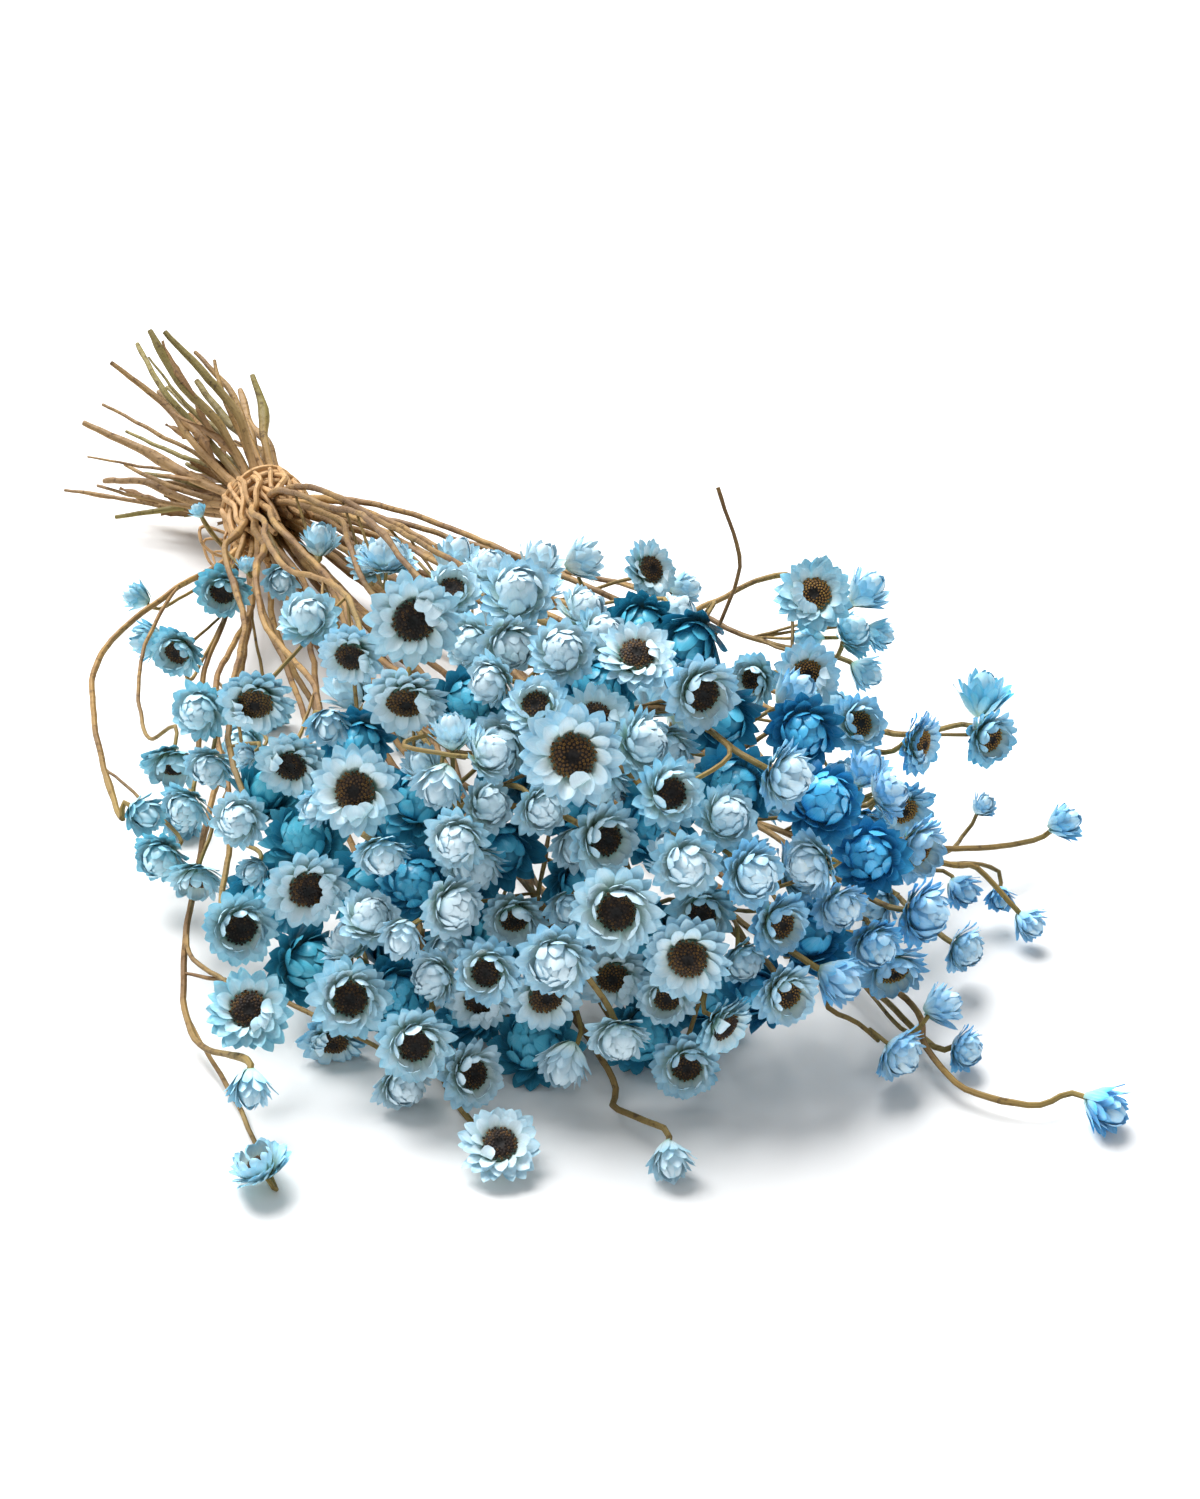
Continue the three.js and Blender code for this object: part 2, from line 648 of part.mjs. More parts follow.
// A branch leaves its trunk where that is near, turns it back least and is no crowd of forks
function branchChain(each, trunk) {
  const seat = seatOf(each);
  const via = (shownRoutes[each.via] ?? []).map((spot) => placeAt(...spot));
  const target = via.length ? via[0] : approachOf(each);
  let fork = tieEntry + 2;
  let best = Infinity;
  for (let index = tieEntry + 2; index < trunk.points.length - 2; index += 1) {
    const toTarget = sub(target, trunk.points[index]);
    const onward = unit(sub(trunk.points[index + 1], trunk.points[index]));
    const reach = size(toTarget);
    const turnedBack = Math.max(0.5 - dot(toTarget, onward) / reach, 0);
    const tooShort = Math.max(22 - reach, 0);
    const crowd = trunk.forks.includes(index) ? 12 : 0;
    const cost = reach + crowd + turnedBack * 120 + tooShort * 4;
    if (cost < best) {
      best = cost;
      fork = index;
    }
  }
  trunk.forks.push(fork);
  const start = trunk.points[fork];
  const way = unit(sub(trunk.points[fork + 1], start));
  const points = runThrough([start, ...via, approachOf(each), seat], way, each.facing);
  const held = points.map((point, index) => index === 0 || index === points.length - 1);
  const radii = points.map((point, index) => {
    return branchRadius + ((branchTipRadius - branchRadius) * index) / (points.length - 1);
  });
  return { points, held, spray: each.spray, head: each, radii, fork: { trunk, index: fork } };
}

// A twig that has lost its head stands up from the trunk that it forks from
function bareTwig(trunk) {
  const places = bareTwigRoute.map((spot) => placeAt(...spot));
  const reaches = trunk.points.map((point) => size(sub(point, places[0])));
  reaches.fill(Infinity, 0, tieEntry + 2);
  const index = reaches.indexOf(Math.min(...reaches));
  const points = runThrough([trunk.points[index], ...places], [0, 0, 1], [0, 0, 1]);
  const held = points.map((point, number) => number === 0 || number === points.length - 1);
  const radii = points.map(() => branchTipRadius);
  return { points, held, spray: trunk.spray, radii, fork: { trunk, index } };
}

// Nearest points of two straight runs, as the share of each where they lie
function nearest(p1, q1, p2, q2) {
  const d1 = sub(q1, p1);
  const d2 = sub(q2, p2);
  const r = sub(p1, p2);
  const a = dot(d1, d1);
  const e = dot(d2, d2);
  const f = dot(d2, r);
  const c = dot(d1, r);
  const b = dot(d1, d2);
  const denominator = a * e - b * b;
  const clamp = (value) => Math.min(Math.max(value, 0), 1);
  let s = denominator > 1e-9 ? clamp((b * f - c * e) / denominator) : 0.5;
  let t = e > 0 ? (b * s + f) / e : 0;
  if (t < 0 || t > 1) {
    t = clamp(t);
    s = a > 0 ? clamp((b * t - c) / a) : 0;
  }
  return [s, t];
}

const nearFork = ({ chain, index }) => chain.fork !== undefined && index === 0;

// Stems are bent clear of the heads and of the other stems
function settleStems(chains, heads) {
  const runs = [];
  chains.forEach((chain) => {
    chain.first = chain.points.map((point) => [...point]);
    for (let index = 0; index < chain.points.length - 1; index += 1) {
      runs.push({ chain, index, wide: Math.max(chain.radii[index], chain.radii[index + 1]) });
    }
  });
  const move = (chain, index, shift) => {
    if (!chain.held[index]) {
      chain.points[index] = add(chain.points[index], shift);
    }
  };
  const joined = (one, other) => {
    if (one.chain === other.chain) {
      return true;
    }
    return one.chain.spray === other.chain.spray && (nearFork(one) || nearFork(other));
  };
  const rounds = 120;
  const smoothRounds = 80;
  const smoothing = 0.3;
  const watch = 8; // pieces nearer than this are looked at in the next rounds
  let stemPairs = [];
  let headPairs = [];
  for (let round = 0; round < rounds; round += 1) {
    if (round % 10 === 0) {
      stemPairs = [];
      headPairs = [];
      const ends = runs.map(({ chain, index }) => [chain.points[index], chain.points[index + 1]]);
      const middles = ends.map(([from, to]) => mix(from, to, 0.5));
      const spans = ends.map(([from, to]) => size(sub(from, to)) / 2);
      for (let i = 0; i < runs.length; i += 1) {
        for (let j = i + 1; j < runs.length; j += 1) {
          const near = spans[i] + spans[j] + watch;
          if (!joined(runs[i], runs[j]) && size(sub(middles[i], middles[j])) < near) {
            stemPairs.push([runs[i], runs[j]]);
          }
        }
        for (const each of heads) {
          const far = size(sub(middles[i], each.at)) > spans[i] + each.radius + watch;
          if (runs[i].chain.head !== each && !far) {
            headPairs.push([runs[i], each]);
          }
        }
      }
    }
    for (const [one, other] of stemPairs) {
      const a = one.chain.points;
      const b = other.chain.points;
      const [s, t] = nearest(a[one.index], a[one.index + 1], b[other.index], b[other.index + 1]);
      const from = mix(a[one.index], a[one.index + 1], s);
      const to = mix(b[other.index], b[other.index + 1], t);
      const apart = sub(to, from);
      const distance = size(apart) || 1e-6;
      const need = one.wide + other.wide + clearGap;
      if (distance < need) {
        const shift = times(apart, (0.5 * (need - distance)) / distance);
        move(one.chain, one.index, times(shift, -(1 - s)));
        move(one.chain, one.index + 1, times(shift, -s));
        move(other.chain, other.index, times(shift, 1 - t));
        move(other.chain, other.index + 1, times(shift, t));
      }
    }
    for (const [one, each] of headPairs) {
      const a = one.chain.points;
      const run = sub(a[one.index + 1], a[one.index]);
      const share = dot(sub(each.at, a[one.index]), run) / dot(run, run);
      const s = Math.min(Math.max(share, 0), 1);
      const from = mix(a[one.index], a[one.index + 1], s);
      const apart = sub(from, each.at);
      const distance = size(apart) || 1e-6;
      const need = each.radius + one.wide + clearGap;
      if (distance < need) {
        const shift = times(apart, (need - distance) / distance);
        move(one.chain, one.index, times(shift, 1 - s * 0.5));
        move(one.chain, one.index + 1, times(shift, 0.5 + s * 0.5));
      }
    }
    for (const chain of chains) {
      if (chain.fork) {
        chain.points[0] = [...chain.fork.trunk.points[chain.fork.index]];
      }
      if (round < smoothRounds) {
        const moved = chain.points.map((point, index) => sub(point, chain.first[index]));
        for (let index = 1; index < chain.points.length - 1; index += 1) {
          const middle = times(add(moved[index - 1], moved[index + 1]), 0.5);
          move(chain, index, times(sub(middle, moved[index]), smoothing));
        }
      }
      chain.points.forEach((point, index) => {
        point[2] = Math.max(point[2], chain.radii[index] + 0.2);
      });
    }
  }
}

// A closed body from corner places and triangles
function bodyFrom(places, faces) {
  return new wasm.Manifold(new wasm.Mesh({
    numProp: 3,
    vertProperties: new Float32Array(places.flat()),
    triVerts: new Uint32Array(faces.flat()),
  }));
}

// Forms of a head, as shares of its radius. Each ring has a reach and a rise at its points, and where the
// petals' tips and notches take turns it has both. A closed form ends in a dome, an open one in its disc.
const headForms = {
  open: {
    petals: 7,
    tip: [0.97, 0.1],
    notch: [0.7, -0.02],
    rings: [[0.58, 0.3], [0.45, 0.14]],
    middle: 0.22,
  },
  cup: {
    petals: 6,
    tip: [0.96, -0.06],
    notch: [0.72, -0.2],
    rings: [[0.6, 0.46], [0.34, 0.2]],
    middle: 0.16,
  },
  ball: {
    petals: 5,
    tip: [0.95, -0.14],
    notch: [0.68, -0.24],
    rings: [[0.58, 0.4]],
    middle: 0.72,
  },
  bud: {
    petals: 5,
    tip: [0.96, 0.18],
    notch: [0.64, -0.14],
    rings: [[0.54, 0.5]],
    middle: 0.86,
  },
};

// The rings of a stalk: a few corners round the stem's middle line, then the head that the stem carries.
// A star of outer petals stands round a crown of inner petals, and the crown round the disc.
function stalkRings(chain) {
  const { points, head: carried } = chain;
  const last = points.length - 1;
  const rings = [];
  let side = [0, 0, 1];
  let aside = [1, 0, 0];
  points.forEach((point, index) => {
    const before = points[Math.max(index - 1, 0)];
    const after = points[Math.min(index + 1, last)];
    const way = index === last && carried ? carried.facing : unit(sub(after, before));
    side = unit(sub(side, times(way, dot(side, way))));
    aside = cross(way, side);
    rings.push(ringAt(point, side, aside, stemCorners, () => [chain.radii[index], 0], way));
  });
  if (!carried) {
    return { rings, middle: points[last] };
  }
  const form = headForms[carried.form];
  const grow = (reach, rise) => [reach * carried.radius, rise * carried.radius];
  const ring = (corners, spot) => ringAt(carried.at, side, aside, corners, spot, carried.facing);
  rings.push(ring(2 * form.petals, (corner) => grow(...(corner % 2 ? form.notch : form.tip))));
  form.rings.forEach(([reach, rise]) => rings.push(ring(form.petals, () => grow(reach, rise))));
  return { rings, middle: add(carried.at, times(carried.facing, form.middle * carried.radius)) };
}

function ringAt(middle, side, aside, corners, spot, way) {
  const places = [];
  for (let corner = 0; corner < corners; corner += 1) {
    const angle = (2 * Math.PI * corner) / corners;
    const [reach, rise] = spot(corner);
    const out = add(times(side, Math.cos(angle)), times(aside, Math.sin(angle)));
    places.push(add(middle, add(times(out, reach), times(way, rise))));
  }
  return places;
}

// A closed body over a row of rings, whose corners may differ in number from ring to ring
function stalkBody(chain) {
  const { rings, middle } = stalkRings(chain);
  const places = [];
  const faces = [];
  const starts = rings.map((ring) => {
    places.push(...ring);
    return places.length - ring.length;
  });
  for (let number = 1; number < rings.length; number += 1) {
    const low = rings[number - 1].length;
    const next = rings[number].length;
    const lowCorner = (corner) => starts[number - 1] + (corner % low);
    const nextCorner = (corner) => starts[number] + (corner % next);
    let a = 0;
    let b = 0;
    while (a < low || b < next) {
      if (b === next || (a < low && (a + 1) * next <= (b + 1) * low)) {
        faces.push([lowCorner(a), lowCorner(a + 1), nextCorner(b)]);
        a += 1;
      } else {
        faces.push([lowCorner(a), nextCorner(b + 1), nextCorner(b)]);
        b += 1;
      }
    }
  }
  const end = rings[rings.length - 1].length;
  const lastStart = starts[starts.length - 1];
  for (let corner = 0; corner < end; corner += 1) {
    faces.push([lastStart + corner, lastStart + ((corner + 1) % end), places.length]);
  }
  places.push(middle);
  for (let corner = 1; corner < rings[0].length - 1; corner += 1) {
    faces.push([0, corner + 1, corner]);
  }
  return bodyFrom(places, faces);
}

// The table's side of everything is cut flat where it would pass below the table
function belowTable() {
  const across = 900;
  const deep = 60;
  const block = new THREE.BoxGeometry(across, across, deep);
  block.translate(0, 0, -deep / 2);
  return geometryToBody(block);
}

function geometryToBody(geometry) {
  const plain = geometry.clone();
  plain.deleteAttribute("normal");
  plain.deleteAttribute("uv");
  const merged = BufferGeometryUtils.mergeVertices(plain);
  return new wasm.Manifold(new wasm.Mesh({
    numProp: 3,
    vertProperties: new Float32Array(merged.attributes.position.array),
    triVerts: new Uint32Array(merged.index.array),
  }));
}

// One turn of the tie: a closed ring of stem round the bundle, leaning along it and lumpy as bent stem is
function wrapBody(turn) {
  const corners = 4;
  const steps = 11;
  const inner = (bundleRadius + trunkRadius + tieGap) / Math.cos(Math.PI / steps);
  const places = [];
  const faces = [];
  for (let step = 0; step < steps; step += 1) {
    const angle = (2 * Math.PI * step) / steps;
    const out = [Math.cos(angle), 0, Math.sin(angle)];
    const reach = inner + wrapRadius + turn.lift * (1 + Math.sin(angle * 2 + turn.phase));
    const along = turn.along + turn.lean * Math.sin(angle + turn.phase);
    const middle = add(add(tie, [0, along, 0]), times(out, reach));
    for (let corner = 0; corner < corners; corner += 1) {
      const round = (2 * Math.PI * corner) / corners;
      const aside = add(times(out, Math.cos(round)), [0, Math.sin(round), 0]);
      places.push(add(middle, times(aside, wrapRadius)));
    }
  }
  for (let step = 0; step < steps; step += 1) {
    const next = (step + 1) % steps;
    for (let corner = 0; corner < corners; corner += 1) {
      const a = step * corners + corner;
      const b = step * corners + ((corner + 1) % corners);
      const c = next * corners + ((corner + 1) % corners);
      const d = next * corners + corner;
      faces.push([a, b, c], [a, c, d]);
    }
  }
  return bodyFrom(places, faces);
}

function tieBody() {
  const draw = drawer(31);
  const halfLength = 6;
  const turns = [];
  for (let number = 0; number < wrapCount; number += 1) {
    const along = halfLength * ((2 * number) / (wrapCount - 1) - 1);
    const lean = (draw() - 0.5) * 7;
    const phase = draw() * 6;
    const lift = 0.7 + 0.5 * draw();
    turns.push(wrapBody({ along, lean, phase, lift }));
  }
  return turns.reduce((whole, turn) => whole.add(turn));
}

// Only the largest of the pieces that a join leaves is kept, without slivers thinner than the tolerance
function largest(body) {
  const sliver = 0.02;
  const pieces = body.decompose();
  return pieces.reduce((best, piece) => (piece.volume() > best.volume() ? piece : best)).simplify(sliver);
}

function sprayColour(own) {
  const middle = times(own.map((each) => each.at).reduce(add), 1 / own.length);
  const across = dot(sub(middle, eye), viewRight);
  if (across < tealBefore) {
    return teal;
  }
  return across < deepBlueFrom ? paleBlue : deepBlue;
}

function toMesh(name, body, material) {
  const { vertProperties, triVerts } = body.getMesh();
  const geometry = new THREE.BufferGeometry();
  geometry.setAttribute("position", new THREE.BufferAttribute(new Float32Array(vertProperties), 3));
  geometry.setIndex(new THREE.BufferAttribute(new Uint32Array(triVerts), 1));
  const mesh = new THREE.Mesh(geometry, material);
  mesh.name = name;
  return mesh;
}

const heads = [...shownHeads];
heads.push(...hiddenHeads(heads));
heads.push(...gapHeads(heads));
shareOut(heads);
spaceOut(heads);
const lanes = laneMiddles(heads, sprayCount);
const drawStem = drawer(977);
const chains = [];
for (let spray = 0; spray < sprayCount; spray += 1) {
  const own = heads.filter((each) => each.spray === spray);
  const leader = own.find((each) => each.lead) ?? own.reduce((a, b) => (b.at[1] < a.at[1] ? b : a));
  const trunk = trunkChain(leader, lanes[spray], drawStem);
  chains.push(trunk);
  for (const each of own) {
    if (each !== leader) {
      chains.push(branchChain(each, trunk));
    }
  }
}
chains.push(bareTwig(chains.find((chain) => chain.head.via === "back fork")));
settleStems(chains, heads);

const floorBlock = belowTable();
const sprays = [];
for (let spray = 0; spray < sprayCount; spray += 1) {
  const stalks = chains.filter((chain) => chain.spray === spray).map(stalkBody);
  sprays.push(largest(stalks.reduce((whole, stalk) => whole.add(stalk)).subtract(floorBlock)));
}

const bunch = new THREE.Group();
sprays.forEach((body, number) => {
  const color = sprayColour(heads.filter((each) => each.spray === number));
  const material = new THREE.MeshStandardMaterial({ color, roughness: 0.7, metalness: 0 });
  bunch.add(toMesh(`spray_${String(number + 1).padStart(2, "0")}`, body, material));
});

const tieMaterial = new THREE.MeshStandardMaterial({ color: stemBrown, roughness: 0.85, metalness: 0 });
bunch.add(toMesh("tie", largest(tieBody()), tieMaterial));

export default bunch;
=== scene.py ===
# Preserved winged everlasting: a tied bunch of dyed papery flower heads lying on a table.
# The layout below is worked out in millimetres and the pieces are made in metres.
import json
import math
import bpy
import numpy as np
from mathutils import Matrix, Vector

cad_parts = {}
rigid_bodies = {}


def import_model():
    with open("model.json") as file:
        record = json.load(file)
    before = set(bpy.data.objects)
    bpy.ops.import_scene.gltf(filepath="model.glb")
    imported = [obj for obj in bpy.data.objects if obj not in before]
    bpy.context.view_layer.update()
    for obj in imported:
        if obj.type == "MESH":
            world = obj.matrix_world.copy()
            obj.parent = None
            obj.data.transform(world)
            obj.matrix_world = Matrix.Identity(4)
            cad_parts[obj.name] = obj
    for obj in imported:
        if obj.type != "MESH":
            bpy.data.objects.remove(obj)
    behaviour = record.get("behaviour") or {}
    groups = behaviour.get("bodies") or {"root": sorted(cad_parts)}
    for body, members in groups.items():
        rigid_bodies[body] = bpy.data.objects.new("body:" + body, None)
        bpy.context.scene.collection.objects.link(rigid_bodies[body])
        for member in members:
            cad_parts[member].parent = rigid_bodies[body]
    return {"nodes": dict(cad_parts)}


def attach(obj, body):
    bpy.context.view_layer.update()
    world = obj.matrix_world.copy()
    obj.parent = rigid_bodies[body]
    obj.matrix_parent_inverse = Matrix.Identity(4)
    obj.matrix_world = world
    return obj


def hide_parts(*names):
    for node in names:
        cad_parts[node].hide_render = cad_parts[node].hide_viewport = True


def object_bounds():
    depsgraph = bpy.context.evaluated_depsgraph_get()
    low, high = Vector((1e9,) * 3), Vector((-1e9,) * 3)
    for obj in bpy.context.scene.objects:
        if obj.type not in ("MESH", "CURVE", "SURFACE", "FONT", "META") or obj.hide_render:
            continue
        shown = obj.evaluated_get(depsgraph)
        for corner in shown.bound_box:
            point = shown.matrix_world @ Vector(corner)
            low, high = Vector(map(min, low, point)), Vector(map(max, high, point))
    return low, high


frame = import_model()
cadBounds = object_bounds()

print("stage: frame loaded,", len(frame["nodes"]), "nodes")

metre = 0.001

# How the stems run
layoutValues = {
    "sprayCount": 38,
    "cutEndRadius": 1.75,
    "trunkRadius": 1.5,
    "trunkTipRadius": 1.0,
    "branchRadius": 0.9,
    "branchTipRadius": 0.7,
    "tieHeight": 25,
    "bundleRadius": 10.6,
    "tieHalfLength": 9,
    "tailShortest": 42,
    "tailLongest": 80,
    "wrapCount": 5,
    "wrapRadius": 1.25,
    "clearGap": 0.3,
    "tieGap": 0.12,
    "stationSpacing": 31,
    "lowestShare": 0.72,
    "bunchTurn": 27.4,
    "originAcross": -46.1457,
    "originAway": 586.3895,
    "tieAcross": -127,
    "tieAway": 724,
}

# The picture's view: where its middle is, how far its plane lies, the eye's height and how far it looks down
viewValues = {"across": 600, "down": 749.5, "reach": 2082, "height": 354, "pitch": 31}

# The mound of heads in rows ever nearer the eye than the tie: near, left, right, high
moundRows = [
    (0, -145, -108, 42),
    (60, -160, -50, 50),
    (110, -158, 0, 62),
    (150, -150, 50, 80),
    (200, -138, 85, 98),
    (250, -112, 98, 104),
    (285, -82, 92, 88),
    (305, -58, 82, 56),
    (320, -45, 70, 14),
]


def rad(degrees):
    return (degrees * math.pi) / 180


def add(a, b):
    return [a[0] + b[0], a[1] + b[1], a[2] + b[2]]


def sub(a, b):
    return [a[0] - b[0], a[1] - b[1], a[2] - b[2]]


def times(a, k):
    return [a[0] * k, a[1] * k, a[2] * k]


def dot(a, b):
    return a[0] * b[0] + a[1] * b[1] + a[2] * b[2]


def size(a):
    return math.sqrt(dot(a, a))


def unit(a):
    return times(a, 1 / (size(a) or 1))


def cross(a, b):
    return [a[1] * b[2] - a[2] * b[1], a[2] * b[0] - a[0] * b[2], a[0] * b[1] - a[1] * b[0]]


def mix(a, b, t):
    return add(times(a, 1 - t), times(b, t))


def wholeNumber(value):
    return math.floor(value + 0.5)


class Drawer:
    # the same row of numbers between 0 and 1 for each seed
    def __init__(self, seed):
        self.state = seed

    def draw(self):
        self.state = (self.state * 1664525 + 1013904223) % 4294967296
        return self.state / 4294967296

    def between(self, low, high):
        return low + (high - low) * self.draw()


turnCos = math.cos(rad(layoutValues["bunchTurn"]))
turnSin = math.sin(rad(layoutValues["bunchTurn"]))
pitch = rad(viewValues["pitch"])


def toPart(place):
    across, away, up = place
    return [turnCos * across + turnSin * away, -turnSin * across + turnCos * away, up]


def placeInPart(across, away, up):
    return toPart([across - layoutValues["originAcross"], away - layoutValues["originAway"], up])


eye = placeInPart(0, 0, viewValues["height"])
viewRight = toPart([1, 0, 0])
viewUp = toPart([0, math.sin(pitch), math.cos(pitch)])
viewAhead = toPart([0, math.cos(pitch), -math.sin(pitch)])
awayWay = toPart([0, 1, 0])
tie = placeInPart(layoutValues["tieAcross"], layoutValues["tieAway"], layoutValues["tieHeight"])


def sightLine(px, py):
    sideways = times(viewRight, (px - viewValues["across"]) / viewValues["reach"])
    upwards = times(viewUp, (viewValues["down"] - py) / viewValues["reach"])
    return unit(add(viewAhead, add(sideways, upwards)))


def placeAt(px, py, height):
    line = sightLine(px, py)
    return add(eye, times(line, (height - eye[2]) / line[2]))


def moundRowAt(near):
    row = 0
    while row < len(moundRows) - 2 and near > moundRows[row + 1][0]:
        row += 1
    low, high = moundRows[row], moundRows[row + 1]
    t = (near - low[0]) / (high[0] - low[0])
    return [low[k] + (high[k] - low[k]) * t for k in (1, 2, 3)]


def moundDepth(place):
    # how far a place lies from the mound's middle: 1 on its surface
    fromEye = sub(place, eye)
    across = dot(fromEye, viewRight)
    near = layoutValues["tieAway"] - dot(fromEye, awayWay)
    if near <= moundRows[0][0] or near >= moundRows[-1][0]:
        return 9
    left, right, high = moundRowAt(near)
    side = abs(across - (left + right) / 2) / ((right - left) / 2)
    rise = max(place[2], 0) / high
    return math.pow(math.pow(side, 2.2) + math.pow(rise, 2.2), 1 / 2.2)


def placeOnMound(px, py, sink):
    line = sightLine(px, py)
    best, bestReach = 9, 0
    for reach in range(380, 900):
        depth = moundDepth(add(eye, times(line, reach)))
        if depth < best:
            best, bestReach = depth, reach
        if depth <= 1:
            break
    return add(eye, times(line, bestReach + sink))


# The heads that the picture shows: form, across, down, width, tip away from the eye, turn in the picture,
# then height above the table or how deep it sits in the mound, and its group and route where it has them
def sunk(value):
    return {"sink": value}


def high(value):
    return {"height": value}


def grouped(height, group, lead=False, via=None):
    return {"height": height, "group": group, "lead": lead, "via": via}


